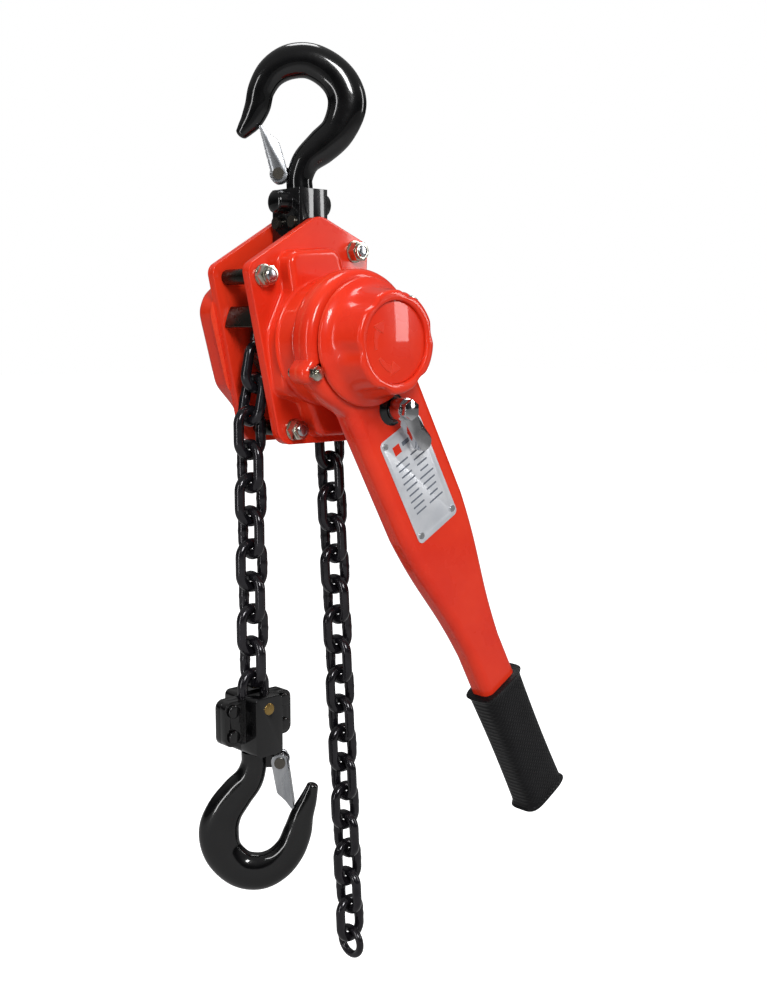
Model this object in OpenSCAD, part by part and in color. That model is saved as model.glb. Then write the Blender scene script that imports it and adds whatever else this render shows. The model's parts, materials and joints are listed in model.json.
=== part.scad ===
// Ratchet lever chain hoist: a hand lever turns a brake and gear train that
// winds a calibrated load chain over a pocketed sheave between two side plates.
// The origin is the centre of the top hook's bowl. The drive axis runs along Y,
// the lever side faces -Y and the load hangs along -Z.

/* [Overall] */
// Height of the top hook's bowl centre above the drive axis
hook_drop = 166; // [150:1:200]
// How far the hook line sits to the right of the drive axis
hook_offset = 7; // [0:1:12]
// Turn of both hook planes about the vertical
hook_turn = -43; // [-90:1:90]
// Gap between the two side plates
plate_gap = 34; // [30:1:42]
// Thickness of each side plate
plate_t = 5; // [4:0.5:7]

/* [Chain] */
// Wire diameter of the chain, with running clearance taken off
wire_d = 7.6; // [7:0.1:7.8]
// Pitch of the chain, the inside length of a link
pitch = 24; // [24:0.5:26]
// Outside width of a link
link_w = 27; // [26.6:0.1:27.6]
// Links in the straight load run below the bend
load_links = 9; // [5:2:15]
// Links in the free tail
tail_links = 20; // [8:2:26]
// Lean of the free tail away from the vertical
tail_lean = 2.8; // [0:0.1:5]

/* [Sheave and gears] */
// Slant of the chain where it comes on to the sheave
lead_slant = 12; // [10:0.5:14]
// Radius of the sheave's flanks
sheave_r = 30; // [29:0.5:31]
// Centre distance between the drive axis and each idler
gear_centres = 36; // [36:0.5:40]
// Width of each gear
gear_w = 6; // [5:0.5:7]
// Radius of the pinion shaft
shaft_r = 7; // [6:0.25:7.25]

/* [Brake] */
// Radius of the friction discs and of the flanges that clamp them
disc_r = 30; // [26:0.5:31]
// Thickness of each friction disc
disc_t = 2.4; // [2:0.1:3]
// Tip radius of the ratchet disc
ratchet_r = 35; // [33:0.5:36]
// Thickness of the ratchet disc
ratchet_t = 4.8; // [4:0.1:5.5]
// Radius of the brake cover's drum
drum_r = 44; // [42:0.5:46]

/* [Lever] */
// Angle of the lever from straight down, towards the right
lever_angle = 28.5; // [0:0.5:90]
// Distance from the drive axis to the end of the grip
lever_reach = 426; // [360:1:500]
// Width of the lever's blade next to the head
blade_w = 70; // [60:1:74]
// Width of the lever's neck above the grip
neck_w = 36; // [30:1:40]
// Radius of the lever's head
head_r = 50; // [49:0.5:54]
// Wall of the pressed lever shells
shell_t = 2.4; // [2:0.1:3]
// Length of the rubber grip
grip_len = 120; // [90:1:140]

/* [Handwheel] */
// Radius of the handwheel's skirt
skirt_r = 44; // [42:0.5:46]
// Radius of the handwheel's front rim
wheel_r = 34.5; // [32:0.5:37]
// Radius of the recess in the handwheel's face
recess_r = 27.7; // [24:0.1:28.5]

/* [Fasteners and fits] */
// Radius of the stay bolts between the plates
stay_r = 5.5; // [5:0.1:6]
// Radius of the threaded ends of the stay bolts
thread_r = 4; // [3.5:0.1:4.5]
// Width across flats of the stay nuts
nut_af = 13; // [11:0.5:14]
// Radial clearance of a running fit
run_fit = 0.05; // [0.02:0.01:0.1]
// Free gap between pieces that move past each other
free_gap = 0.4; // [0.3:0.05:0.6]

/* [Hidden] */
$fn = 48;

paint = "#e23b2c";
black_paint = "#17171a";
chain_black = "#242226";
zinc = "#c9c7bd";
steel = "#8d9096";
dark_steel = "#4a4846";
brass = "#b98d4a";
lining = "#5f5449";
chrome = "#d7d9dc";
rubber = "#1b1b1d";
label_white = "#dfe1e4";

// ---- chain geometry, in the plane of the chain (X right, Z up) ----
bar_r = wire_d / 2;
link_in = pitch + 0.5;
link_half = link_in / 2 + wire_d;
bend_r = link_w / 2 - bar_r;
bar_pitch = wire_d + 0.4;
joint_r = 0.5 * sqrt(pow(pitch / sin(22.5), 2) + pow(bar_pitch / cos(22.5), 2));
flat_r = sqrt(pow(joint_r, 2) - pow((pitch + bar_pitch) / 2, 2));
upright_r = sqrt(pow(joint_r, 2) - pow((pitch - bar_pitch) / 2, 2));
lead_out = [-cos(lead_slant), sin(lead_slant)];
lead_up = [sin(lead_slant), cos(lead_slant)];
lead_line = flat_r + 0.9;
lead_slack = 0.4;
upper_lead = lead_out * lead_line - lead_up * (pitch - lead_slack);
lower_lead = lead_out * lead_line - lead_up * (2 * pitch - lead_slack);
bend_bar = lower_lead - lead_up * (pitch + bar_pitch) / 2;
load_x = bend_bar[0];
load_top = bend_bar[1] - (pitch - bar_pitch) / 2;
load_end = load_top - (load_links - 1) * pitch;
tail_dir = [sin(tail_lean), -cos(tail_lean)];
tail_leave = upright_r * [cos(33), sin(33)] + (pitch - bar_pitch) / 2 * [sin(33), -cos(33)];
tail_first = tail_leave + [-0.4, 0.6] + tail_dir * (pitch + bar_pitch) / 2;

// ---- places along the drive axis, from the middle of the chain ----
plate_in = plate_gap / 2;
plate_out = plate_in + plate_t;
flange_t = 2.5;
flange_out = plate_out + flange_t;
bearing_out_r = 24;
journal_r = 17;
bearing_in_r = journal_r + run_fit;
sheave_half = plate_in - 3;
hub_start = plate_out + 2;
hub_t = 3;
inner_disc_y = hub_start + hub_t + 0.1;
ratchet_y = inner_disc_y + disc_t + 0.1;
outer_disc_y = ratchet_y + ratchet_t + 0.1;
clamp_y = outer_disc_y + disc_t + 0.1;
clamp_t = 3;
shoulder_out = clamp_y + 1;
drum_out = clamp_y + 18;
lever_back_y = drum_out + 3;
lever_split_y = lever_back_y + 10;
lever_front_y = lever_back_y + 20;
skirt_y = lever_front_y + 1.6;
wheel_front_y = skirt_y + 31.4;
load_gear_y = flange_out + 1;
pinion_y = load_gear_y + gear_w + 2;
gear_case_in = pinion_y + gear_w + 1.5;
gear_case_out = gear_case_in + 3;

// ---- plate and stays ----
plate_pts = [
    [5, 90, 15], [51, 71, 8], [47, -72.5, 10],
    [-32, -72.5, 12], [-59, 52, 8]
];
slot_y = wire_d / 2 + free_gap;
stays = [[-46, 45.4], [37.5, 65], [load_x + link_w / 2 + stay_r + 1.8, -61.8]];
cover_stud = [36, -60];
cover_bolts = concat(stays, [cover_stud]);
tail_x = tail_first[0] + (tail_first[1] - cover_stud[1]) * tan(tail_lean);
tail_stay = [tail_x - link_w / 2 - stay_r - 1.2, -61.8];
head_r_bolt = 6.4;
head_t = 4.2;
top_pin_at = [hook_offset, 70];
top_pin_r = 7;

// ---- gears ----
gear_tilt = 7;
upper_at = gear_centres * [-sin(gear_tilt), cos(gear_tilt)];
lower_at = gear_centres * [sin(gear_tilt), -cos(gear_tilt)];
pinion_teeth = 12;
wheel_teeth = 36;
small_teeth = 12;
load_teeth = 24;
fast_module = 2 * gear_centres / (pinion_teeth + wheel_teeth);
slow_module = 2 * gear_centres / (small_teeth + load_teeth);
pressure = 25;

// ---- lever ----
selector_s = 53;
bolt_t = skirt_r + 5.2 + free_gap;
bolt_z = 4;
grip_start = lever_reach - grip_len;
selector_r = 5;
change_teeth = 20;
change_r = 25;

// ---- hooks: centre across, centre up, half width, half thickness ----
top_stations = [
    [0, -56.6, 9.5, 9.5], [0.2, -48, 9.4, 9.4], [5.2, -36.5, 10.2, 9.5],
    [16.6, -26.5, 12.2, 9.5], [27.8, -15.6, 12.6, 9.5], [34.4, 1, 13.9, 9.5],
    [31.7, 14.6, 13.4, 9.4], [22.3, 25.6, 12.8, 9.2], [8.2, 32.6, 12.3, 9],
    [-6.5, 32, 12, 8.7], [-19, 25, 10.7, 8.2], [-26.6, 13.5, 9.6, 7.5],
    [-29.6, 1.6, 9.2, 6.8], [-34, -8, 7.9, 5.8], [-38.6, -14.2, 6, 4.8],
    [-41.2, -17.4, 4.7, 4]
];
bottom_stations = [
    [0, 60, 9.5, 9.5], [-0.4, 50, 9.6, 9.5], [-4.6, 38, 11, 9.5],
    [-13.5, 27, 12.4, 9.5], [-23, 13, 13.6, 9.5], [-27.2, -2, 15, 9.5],
    [-24.3, -18.2, 14.6, 9.4], [-12.4, -30.6, 14.4, 9.2], [2, -33.2, 14.1, 9],
    [15.3, -27.8, 12.6, 8.7], [25.6, -16.4, 11.3, 8.2], [31.4, -2.5, 10.6, 7.5],
    [34.8, 10.3, 8.8, 6.8], [39.2, 21.5, 6.8, 5.6], [42, 30, 5, 4.2],
    [42.8, 33, 4.4, 3.8]
];
hook_neck = 57;
neck_r = 7;
collar_r = 9.8;
collar_t = 8;
block_top = load_end + 1.5;
block_bottom = load_end - 42.6;
bottom_bowl = block_bottom - 61;

// ---------------------------------------------------------------- helpers
function unit(v) = v / norm(v);

// One rounded corner of an outline: an arc of the given radius, tangent to both sides
function corner(a, b, c, r, n = 6) =
    let (u = unit(a - b), v = unit(c - b),
         half = acos(u * v) / 2,
         mid = b + unit(u + v) * r / sin(half),
         s = b + u * r / tan(half) - mid,
         e = b + v * r / tan(half) - mid,
         a0 = atan2(s[1], s[0]),
         turn = atan2(s[0] * e[1] - s[1] * e[0], s * e))
    [for (i = [0:n]) mid + r * [cos(a0 + turn * i / n), sin(a0 + turn * i / n)]];

// Outline from corners given as across, up, radius
function rounded(p) =
    let (n = len(p))
    [for (i = [0:n - 1])
        each corner([p[(i + n - 1) % n][0], p[(i + n - 1) % n][1]],
                    [p[i][0], p[i][1]],
                    [p[(i + 1) % n][0], p[(i + 1) % n][1]], p[i][2])];

// Outline moved in or out by d, each corner along its bisector
function inset(p, d) =
    let (n = len(p))
    [for (i = [0:n - 1])
        let (a = [p[(i + n - 1) % n][0], p[(i + n - 1) % n][1]],
             b = [p[i][0], p[i][1]],
             c = [p[(i + 1) % n][0], p[(i + 1) % n][1]],
             u = unit(a - b), v = unit(c - b),
             side = sign(u[0] * v[1] - u[1] * v[0]),
             half = acos(u * v) / 2,
             q = b + unit(u + v) * side * d / sin(half))
        [q[0], q[1], max(0.5, p[i][2] - side * d)]];

// A prism along Y between two depths, from an outline in the X-Z plane
module slab(y0, y1, pts) {
    translate([0, max(y0, y1), 0])
    rotate([90, 0, 0])
    linear_extrude(abs(y1 - y0))
    polygon(pts);
}

// A round bar along Y between two depths
module rod(at, y0, y1, r, fn = 48) {
    translate([at[0], max(y0, y1), at[1]])
    rotate([90, 0, 0])
    cylinder(r = r, h = abs(y1 - y0), $fn = fn);
}

// A ring along Y
module ring(at, y0, y1, r, hole) {
    difference() {
        rod(at, y0, y1, r);
        rod(at, y0 - sign(y1 - y0), y1 + sign(y1 - y0), hole);
    }
}

module at_drive() {
    translate([-hook_offset, 0, -hook_drop])
    children();
}

// Lever frame: local -Z runs along the lever, local X across it
module at_lever() {
    at_drive()
    rotate([0, -lever_angle, 0])
    children();
}

module at_bottom() {
    translate([load_x - hook_offset, 0, bottom_bowl - hook_drop])
    rotate([0, 0, hook_turn])
    children();
}

// ---------------------------------------------------------------- chain links
// Upright link in the X-Z plane, long axis along Z, centred on the origin
module link() {
    straight = link_in / 2 + bar_r - bend_r;
    for (s = [-1, 1]) {
        translate([s * bend_r, 0, -straight])
        cylinder(r = bar_r, h = 2 * straight, $fn = 24);
        translate([0, 0, s * straight])
        rotate([90, 0, 0])
        rotate([0, 0, s * 90 - 90])
        rotate_extrude(angle = 180, $fn = 32)
        translate([bend_r, 0])
        circle(r = bar_r, $fn = 24);
    }
}

// Link on a path: place in the X-Z plane, lean from the vertical, flat or upright
module path_link(p, lean, flat) {
    translate([p[0], 0, p[1]])
    rotate([0, lean, 0])
    rotate([0, 0, flat ? 90 : 0])
    link();
}

module sheave_links() {
    color(chain_black)
    at_drive()
    for (i = [0:3]) {
        a = 180 - lead_slant - 45 * i;
        flat = i % 2 == 0;
        path_link((flat ? flat_r : upright_r) * [cos(a), sin(a)], -a, flat);
    }
}

module upper_lead_link() {
    color(chain_black) at_drive() path_link(upper_lead, lead_slant, false);
}

module lower_lead_link() {
    color(chain_black) at_drive() path_link(lower_lead, lead_slant, true);
}

module load_chain() {
    color(chain_black)
    at_drive()
    for (i = [0:load_links - 1])
        path_link([load_x, load_top - i * pitch], 0, i % 2 == 1);
}

module tail_chain() {
    color(chain_black)
    at_drive()
    for (i = [0:tail_links - 1])
        path_link(tail_first + tail_dir * pitch * i, -tail_lean, i % 2 == 0);
}

module end_ring() {
    ring_r = 11;
    ring_wire = 3;
    reach = link_half - 2 * bar_r - ring_wire - 0.2 + ring_r;
    p = tail_first + tail_dir * (pitch * (tail_links - 1) + reach);
    color(chain_black)
    at_drive()
    translate([p[0], 0, p[1]])
    rotate([0, -tail_lean, 0])
    rotate([0, 0, tail_links % 2 == 0 ? 90 : 0])
    rotate([90, 0, 0])
    rotate_extrude($fn = 48)
    translate([ring_r, 0])
    circle(r = ring_wire, $fn = 20);
}

// ---------------------------------------------------------------- hooks
function spline(p0, p1, p2, p3, t) =
    0.5 * (2 * p1 + (p2 - p0) * t + (2 * p0 - 5 * p1 + 4 * p2 - p3) * t * t
        + (3 * p1 - p0 - 3 * p2 + p3) * t * t * t);

// Smooth list of stations through the given ones
function smooth(s, n = 4) =
    let (k = len(s))
    [for (i = [0:k - 2]) for (j = [0:n - 1])
        spline(s[max(0, i - 1)], s[i], s[i + 1], s[min(k - 1, i + 2)], j / n),
     s[k - 1]];

// Forged body: elliptical sections swept along the stations in the X-Z plane
module forging(stations, sides = 20) {
    s = smooth(stations);
    k = len(s);
    pts = [for (i = [0:k - 1])
        let (a = s[max(0, i - 1)], b = s[min(k - 1, i + 1)],
             t = unit([b[0] - a[0], b[1] - a[1]]))
        for (j = [0:sides - 1])
            let (c = cos(360 * j / sides), d = sin(360 * j / sides))
            [s[i][0] + t[1] * s[i][2] * c, s[i][3] * d, s[i][1] - t[0] * s[i][2] * c]];
    walls = [for (i = [0:k - 2]) for (j = [0:sides - 1])
        let (m = (j + 1) % sides)
        [i * sides + j, (i + 1) * sides + j, (i + 1) * sides + m, i * sides + m]];
    first = [for (j = [0:sides - 1]) j];
    last = [for (j = [sides - 1:-1:0]) (k - 1) * sides + j];
    polyhedron(pts, concat(walls, [first, last]), convexity = 6);
}

latch_len = 36;
latch_in = 5.2;
latch_out = 6.7;
top_latch_at = [-14.7, -46.5];
bottom_latch_at = [19.5, 53];
top_latch_dir = 110.5;
bottom_latch_dir = -76;
rivet_r = 2.5;
coil_in = 3.6;

// Lug that carries the latch's rivet, tied back to the shank
module latch_lug(at, toward) {
    difference() {
        union() {
            rod(at, -latch_in + 0.3, latch_in - 0.3, 5);
            slab(-coil_in, coil_in, [
                at + [0, 4.5], at + [0, -4.5],
                [toward, at[1] - 4.5], [toward, at[1] + 4.5]
            ]);
        }
        rod(at, -latch_in - 1, latch_in + 1, rivet_r);
    }
}

// Swivel end: neck and collar that turn in the yoke, on the side given by s
module swivel_end(top, s) {
    translate([0, 0, s > 0 ? top - 1 : top - 6 - collar_t])
    cylinder(r = neck_r, h = 7 + collar_t);
    translate([0, 0, s > 0 ? top + 6 : top - 6 - collar_t])
    cylinder(r = collar_r, h = collar_t);
}

module top_hook() {
    color(black_paint)
    rotate([0, 0, hook_turn]) {
        forging(top_stations);
        latch_lug(top_latch_at, 0);
        swivel_end(-hook_neck, -1);
    }
}

module bottom_hook() {
    color(black_paint)
    at_bottom() {
        forging(bottom_stations);
        latch_lug(bottom_latch_at, 0);
        swivel_end(60, 1);
    }
}

// Pressed latch: two ears and a web, with the pivot at the origin and the tongue along X
module latch() {
    rim = rounded([
        [-6, 6, 4], [latch_len, 1.2, 0.6], [latch_len, -0.8, 0.6],
        [29, -3.5, 3], [22, -8, 5], [-6, -6, 5]
    ]);
    difference() {
        slab(-latch_out, latch_out, rim);
        slab(-latch_in, latch_in, [
            [-8, 8], [7.4, 8], [7.4, 3], [latch_len - 6, 0], [latch_len - 4, -12], [-8, -12]
        ]);
        rod([0, 0], -latch_out - 1, latch_out + 1, rivet_r + run_fit);
    }
}

module place_latch(at, dir) {
    translate([at[0], 0, at[1]])
    rotate([0, -dir, 0])
    children();
}

module latch_rivet(at) {
    rod(at, -latch_out - 0.2, latch_out + 0.2, rivet_r);
    for (s = [-1, 1])
        rod(at, s * (latch_out + 0.2), s * (latch_out + 1.8), rivet_r + 1.6);
}

// Coil of the latch spring: two turns either side of the lug
module latch_coil(at) {
    translate([at[0], 0, at[1]])
    for (y = [-1, 1])
        translate([0, y * (coil_in + 0.8), 0])
        rotate([90, 0, 0])
        rotate_extrude($fn = 32)
        translate([5.9, 0])
        circle(r = 0.6, $fn = 16);
}

module top_latch() {
    color(zinc) rotate([0, 0, hook_turn]) place_latch(top_latch_at, top_latch_dir) latch();
}

module top_latch_rivet() {
    color(steel) rotate([0, 0, hook_turn]) latch_rivet(top_latch_at);
}

module top_latch_spring() {
    color(steel) rotate([0, 0, hook_turn]) latch_coil(top_latch_at);
}

module bottom_latch() {
    color(zinc) at_bottom() place_latch(bottom_latch_at, bottom_latch_dir) latch();
}

module bottom_latch_rivet() {
    color(steel) at_bottom() latch_rivet(bottom_latch_at);
}

module bottom_latch_spring() {
    color(steel) at_bottom() latch_coil(bottom_latch_at);
}

// ---------------------------------------------------------------- top yoke
yoke_x = 13;
yoke_y = plate_in - 1.5;
boss_reach = 23;
yoke_bolt_r = 2.5;
yoke_bolt_z = -hook_neck - collar_t - 16;
pin_z = top_pin_at[1] - hook_drop;

// A round bar along X between two places
module cross_rod(x0, x1, y, z, r) {
    translate([x0, y, z])
    rotate([0, 90, 0])
    cylinder(r = r, h = x1 - x0);
}

// Whole yoke with its bores; each half keeps one side of the split
module yoke_body() {
    difference() {
        union() {
            translate([-yoke_x, -yoke_y, pin_z])
            cube([2 * yoke_x, 2 * yoke_y, -hook_neck - 0.3 - pin_z]);
            rod([0, pin_z], -yoke_y, yoke_y, yoke_x);
            cross_rod(-boss_reach, boss_reach, 0, -hook_neck - 10, 8);
        }
        translate([0, 0, -hook_neck - 7])
        cylinder(r = neck_r + run_fit, h = 10);
        translate([0, 0, -hook_neck - 6 - collar_t - 0.3])
        cylinder(r = collar_r + run_fit, h = collar_t + 0.6);
        rod([0, pin_z], -yoke_y - 1, yoke_y + 1, top_pin_r + run_fit);
        for (s = [-1, 1])
            cross_rod(-boss_reach, boss_reach, s * 9, yoke_bolt_z, yoke_bolt_r);
    }
}

module top_yoke_left() {
    color(black_paint)
    intersection() {
        yoke_body();
        translate([-60, -30, -200]) cube([60, 60, 200]);
    }
}

module top_yoke_right() {
    color(black_paint)
    intersection() {
        yoke_body();
        translate([0, -30, -200]) cube([60, 60, 200]);
    }
}

module top_yoke_bolts() {
    color(dark_steel)
    for (s = [-1, 1]) {
        cross_rod(-yoke_x, yoke_x, s * 9, yoke_bolt_z, yoke_bolt_r);
        cross_rod(-yoke_x - 3, -yoke_x, s * 9, yoke_bolt_z, 4.2);
        cross_rod(yoke_x, yoke_x + 3, s * 9, yoke_bolt_z, 4.2);
    }
}

module top_pin() {
    color(steel)
    at_drive()
    rod(top_pin_at, -plate_out, plate_out, top_pin_r);
}

// ---------------------------------------------------------------- frame
// Side plate with its bores, between two depths
module side_plate(y0, y1) {
    difference() {
        slab(y0, y1, rounded(plate_pts));
        rod([0, 0], y0 - 1, y1 + 1, bearing_out_r);
        rod(top_pin_at, y0 - 1, y1 + 1, top_pin_r);
        for (p = concat(cover_bolts, [tail_stay]))
            rod(p, y0 - 1, y1 + 1, thread_r);
        children();
    }
}

pawl_pin_r = 3;
pawl_at = [-14, 46];
pawls = [pawl_at, -pawl_at];

module brake_side_plate() {
    color(paint)
    at_drive()
    side_plate(-plate_out, -plate_in)
        for (p = pawls)
            rod(p, -plate_out - 1, -plate_in + 1, pawl_pin_r);
}

module gear_side_plate() {
    color(paint)
    at_drive()
    side_plate(plate_in, plate_out)
        for (p = [upper_at, lower_at])
            rod(p, plate_in - 1, plate_out + 1, 6 + run_fit);
}

module stay_bolts() {
    color(dark_steel)
    at_drive() {
        for (p = cover_bolts) {
            rod(p, -flange_out - 10, -plate_in, thread_r);
            rod(p, plate_in, flange_out, thread_r);
            rod(p, flange_out, flange_out + head_t, head_r_bolt);
        }
        rod(tail_stay, -plate_out, -plate_in, thread_r);
        rod(tail_stay, plate_in, plate_out, thread_r);
        for (p = concat(stays, [tail_stay]))
            rod(p, -plate_in, plate_in, stay_r);
    }
}

module stay_nuts() {
    color(zinc)
    at_drive()
    for (p = cover_bolts)
        difference() {
            union() {
                rod(p, -flange_out - 1.4, -flange_out, nut_af / 2 + 1.4);
                rod(p, -flange_out - 7.6, -flange_out - 1.4, nut_af / sqrt(3), 6);
                rod(p, -flange_out - 9.4, -flange_out - 7.6, nut_af / 2 - 0.6);
            }
            rod(p, -flange_out - 10, -flange_out + 1, thread_r);
        }
}

// Gear cover's bulge: a plate-shaped box plus a lobe round each idler, cut back at the stays
module gear_bulge(d) {
    lobe = fast_module * (wheel_teeth / 2 + 1) + 1.6;
    body = [
        [-10, 66, 14], [44, 46, 14], [41, -50, 14], [-22, -52, 10],
        [-41, -32, 12], [-55, 22, 12], [-50, 34, 8]
    ];
    difference() {
        union() {
            slab(plate_out, gear_case_out - d, rounded(inset(body, d)));
            for (p = [upper_at, lower_at])
                rod(p, plate_out, gear_case_out - d, lobe + 2.4 - d);
        }
        for (p = cover_bolts)
            rod(p, plate_out - 1, flange_out + head_t + 0.5 + d, head_r_bolt + 0.4 + d);
    }
}

module gear_cover() {
    color(paint)
    at_drive()
    difference() {
        union() {
            difference() {
                union() {
                    slab(plate_out, flange_out, rounded(plate_pts));
                    gear_bulge(0);
                }
                translate([0, -0.5, 0]) gear_bulge(2.4);
                rod([0, 0], plate_out - 1, gear_case_in, journal_r + 12);
            }
            for (p = [[0, 0], upper_at, lower_at])
                rod(p, gear_case_in - 0.9, gear_case_out, 10);
        }
        rod([0, 0], gear_case_in - 2, gear_case_out - 1, 7.5);
        for (p = [upper_at, lower_at])
            rod(p, gear_case_in - 2, gear_case_out - 1, 6 + run_fit);
        for (p = cover_bolts)
            rod(p, plate_out - 1, gear_case_out, thread_r);
    }
}

shoulder_pts = [
    [-34, 62, 9], [13, 66, 9], [17, 50, 7], [45, 44, 12], [46, -30, 12],
    [26, -42, 7], [25, -67, 9], [-6, -67, 10], [-17, -42, 7],
    [-38, -36, 9], [-43.5, 4, 26], [-29, 34, 9]
];

module brake_cover() {
    cover_t = 2.5;
    color(paint)
    at_drive()
    difference() {
        union() {
            slab(-flange_out, -plate_out, rounded(plate_pts));
            slab(-shoulder_out, -flange_out + 0.1, rounded(shoulder_pts));
            rod([0, 0], -drum_out, -shoulder_out + 0.1, drum_r);
            rod([0, 0], -lever_back_y - 4, -drum_out + 0.1, 26);
        }
        slab(-shoulder_out + cover_t, -plate_out + 1, rounded(inset(shoulder_pts, cover_t)));
        rod([0, 0], -drum_out + cover_t, -shoulder_out + cover_t + 1, drum_r - cover_t);
        rod([0, 0], -lever_back_y - 5, -drum_out + cover_t + 1, 20);
        for (p = cover_bolts)
            rod(p, -shoulder_out, -plate_out + 1, thread_r);
    }
}

// Arc strip concentric with the sheave, from one angle to another
function arc_strip(r0, r1, a0, a1, n = 10) = concat(
    [for (i = [0:n]) r1 * [cos(a0 + (a1 - a0) * i / n), sin(a0 + (a1 - a0) * i / n)]],
    [for (i = [n:-1:0]) r0 * [cos(a0 + (a1 - a0) * i / n), sin(a0 + (a1 - a0) * i / n)]]
);

module chain_guide() {
    guard = upright_r + link_w / 2 + 1.2;
    color(dark_steel)
    at_drive() {
        slab(-plate_in, plate_in, arc_strip(guard + 2, guard + 5, 150, 168));
        slab(-plate_in, plate_in, arc_strip(guard, guard + 3, 2, 24));
        slab(-plate_in, plate_in, rounded([
            [-9, -sheave_r - 2, 2], [9, -sheave_r - 2, 2],
            [6, -sheave_r - 17, 4], [-6, -sheave_r - 17, 4]
        ]));
    }
}

module sheave_bearings() {
    color(steel)
    at_drive()
    for (s = [-1, 1])
        ring([0, 0], s * plate_in, s * plate_out, bearing_out_r, bearing_in_r);
}

module pinion_bush() {
    color(brass)
    at_drive()
    ring([0, 0], gear_case_in - 0.9, gear_case_out - 1, 7.5, shaft_r - 1 + run_fit);
}

// ---------------------------------------------------------------- sheave
module load_sheave() {
    pocket_floor = flat_r - bar_r - 0.6;
    pocket_gap = free_gap + 0.8;
    color(steel)
    at_drive()
    difference() {
        union() {
            rod([0, 0], -sheave_half, sheave_half, sheave_r);
            rod([0, 0], -plate_out + 0.3, load_gear_y, journal_r);
            rod([0, 0], load_gear_y, load_gear_y + gear_w + 0.6, 13);
        }
        rod([0, 0], -plate_out, load_gear_y + gear_w + 2, shaft_r + run_fit);
        ring([0, 0], -wire_d / 2 - 0.9, wire_d / 2 + 0.9, sheave_r + 2, 16.4);
        ring([0, 0], -2 * bar_r - free_gap, 2 * bar_r + free_gap, sheave_r + 2, flat_r - bar_r + 0.5);
        for (i = [0:3])
            rotate([0, 90 * i + lead_slant, 0])
            translate([-pocket_floor, 0, 0])
            rotate([0, -90, 0]) {
                for (s = [-1, 1])
                    translate([s * (link_half - link_w / 2), 0, 0])
                    cylinder(r = link_w / 2 + pocket_gap, h = 16);
                translate([-link_half + link_w / 2, -link_w / 2 - pocket_gap, 0])
                cube([2 * link_half - link_w, link_w + 2 * pocket_gap, 16]);
            }
    }
}

// ---------------------------------------------------------------- gears
function involute(a) = tan(a) * 180 / PI - a;

// Half angle of a tooth at radius r, thinned a little for backlash
function tooth_half(m, z, r) =
    let (base = m * z * cos(pressure) / 2)
    90 / z - 0.11 * 180 / (PI * m * z / 2) + involute(pressure)
        - involute(acos(min(1, base / r)));

// Outline of a spur gear whose first tooth points at angle phase
function gear_outline(m, z, phase) =
    let (tip = m * (z / 2 + 0.95), root = m * (z / 2 - 1.2), n = 4,
         start = max(root, m * z * cos(pressure) / 2))
    [for (i = [0:z - 1])
        let (a = phase + 360 * i / z,
             flank = [for (k = [0:n]) start + (tip - start) * k / n])
        each concat(
            [root * [cos(a - 180 / z + 1), sin(a - 180 / z + 1)],
             root * [cos(a - tooth_half(m, z, start)), sin(a - tooth_half(m, z, start))]],
            [for (r = flank) (r + 0.01) * [cos(a - tooth_half(m, z, r)), sin(a - tooth_half(m, z, r))]],
            [for (k = [n:-1:0]) (flank[k] + 0.01)
                * [cos(a + tooth_half(m, z, flank[k])), sin(a + tooth_half(m, z, flank[k]))]],
            [root * [cos(a + tooth_half(m, z, start)), sin(a + tooth_half(m, z, start))]]
        )];

// Phase of a gear with zb teeth that meshes with a gear of za teeth, seen along angle beta
function mesh_phase(beta, za, pa, zb) = beta + 180 + 180 / zb - (pa - beta) * za / zb;

upper_beta = atan2(upper_at[1], upper_at[0]);
lower_beta = atan2(lower_at[1], lower_at[0]);

module load_gear() {
    color(steel)
    at_drive()
    difference() {
        slab(load_gear_y, load_gear_y + gear_w, gear_outline(slow_module, load_teeth, 0));
        rod([0, 0], load_gear_y - 1, load_gear_y + gear_w + 1, 13);
    }
}

module idler_gear(at, beta) {
    color(steel)
    at_drive()
    translate([at[0], 0, at[1]]) {
        slab(load_gear_y - 0.3, load_gear_y + gear_w + 0.4,
            gear_outline(slow_module, small_teeth,
                mesh_phase(beta, load_teeth, 0, small_teeth)));
        slab(pinion_y, pinion_y + gear_w,
            gear_outline(fast_module, wheel_teeth,
                mesh_phase(beta, pinion_teeth, 0, wheel_teeth)));
        rod([0, 0], load_gear_y + gear_w + 0.3, pinion_y + 0.1, 9);
        rod([0, 0], plate_in + 0.5, load_gear_y, 6);
        rod([0, 0], pinion_y + gear_w - 0.1, gear_case_out - 1.5, 6);
    }
}

module upper_idler_gear() {
    idler_gear(upper_at, upper_beta);
}

module lower_idler_gear() {
    idler_gear(lower_at, lower_beta);
}

module pinion_shaft() {
    color(steel)
    at_drive() {
        rod([0, 0], -lever_front_y - 20, pinion_y, shaft_r);
        slab(pinion_y - 0.1, pinion_y + gear_w,
            gear_outline(fast_module, pinion_teeth, 0));
        rod([0, 0], pinion_y + gear_w - 0.1, gear_case_out - 1.5, shaft_r - 1);
    }
}

// ---------------------------------------------------------------- brake
ratchet_count = 16;
ratchet_root = ratchet_r - 4;
hub_neck_r = 15;

module brake_hub() {
    color(steel)
    at_drive()
    difference() {
        union() {
            rod([0, 0], -hub_start - hub_t, -hub_start, disc_r);
            rod([0, 0], -clamp_y, -hub_start, hub_neck_r);
        }
        rod([0, 0], -clamp_y - 1, -hub_start + 1, shaft_r);
    }
}

module inner_friction_disc() {
    color(lining)
    at_drive()
    ring([0, 0], -inner_disc_y - disc_t, -inner_disc_y, disc_r, hub_neck_r);
}

module outer_friction_disc() {
    color(lining)
    at_drive()
    ring([0, 0], -outer_disc_y - disc_t, -outer_disc_y, disc_r, hub_neck_r);
}

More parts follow.
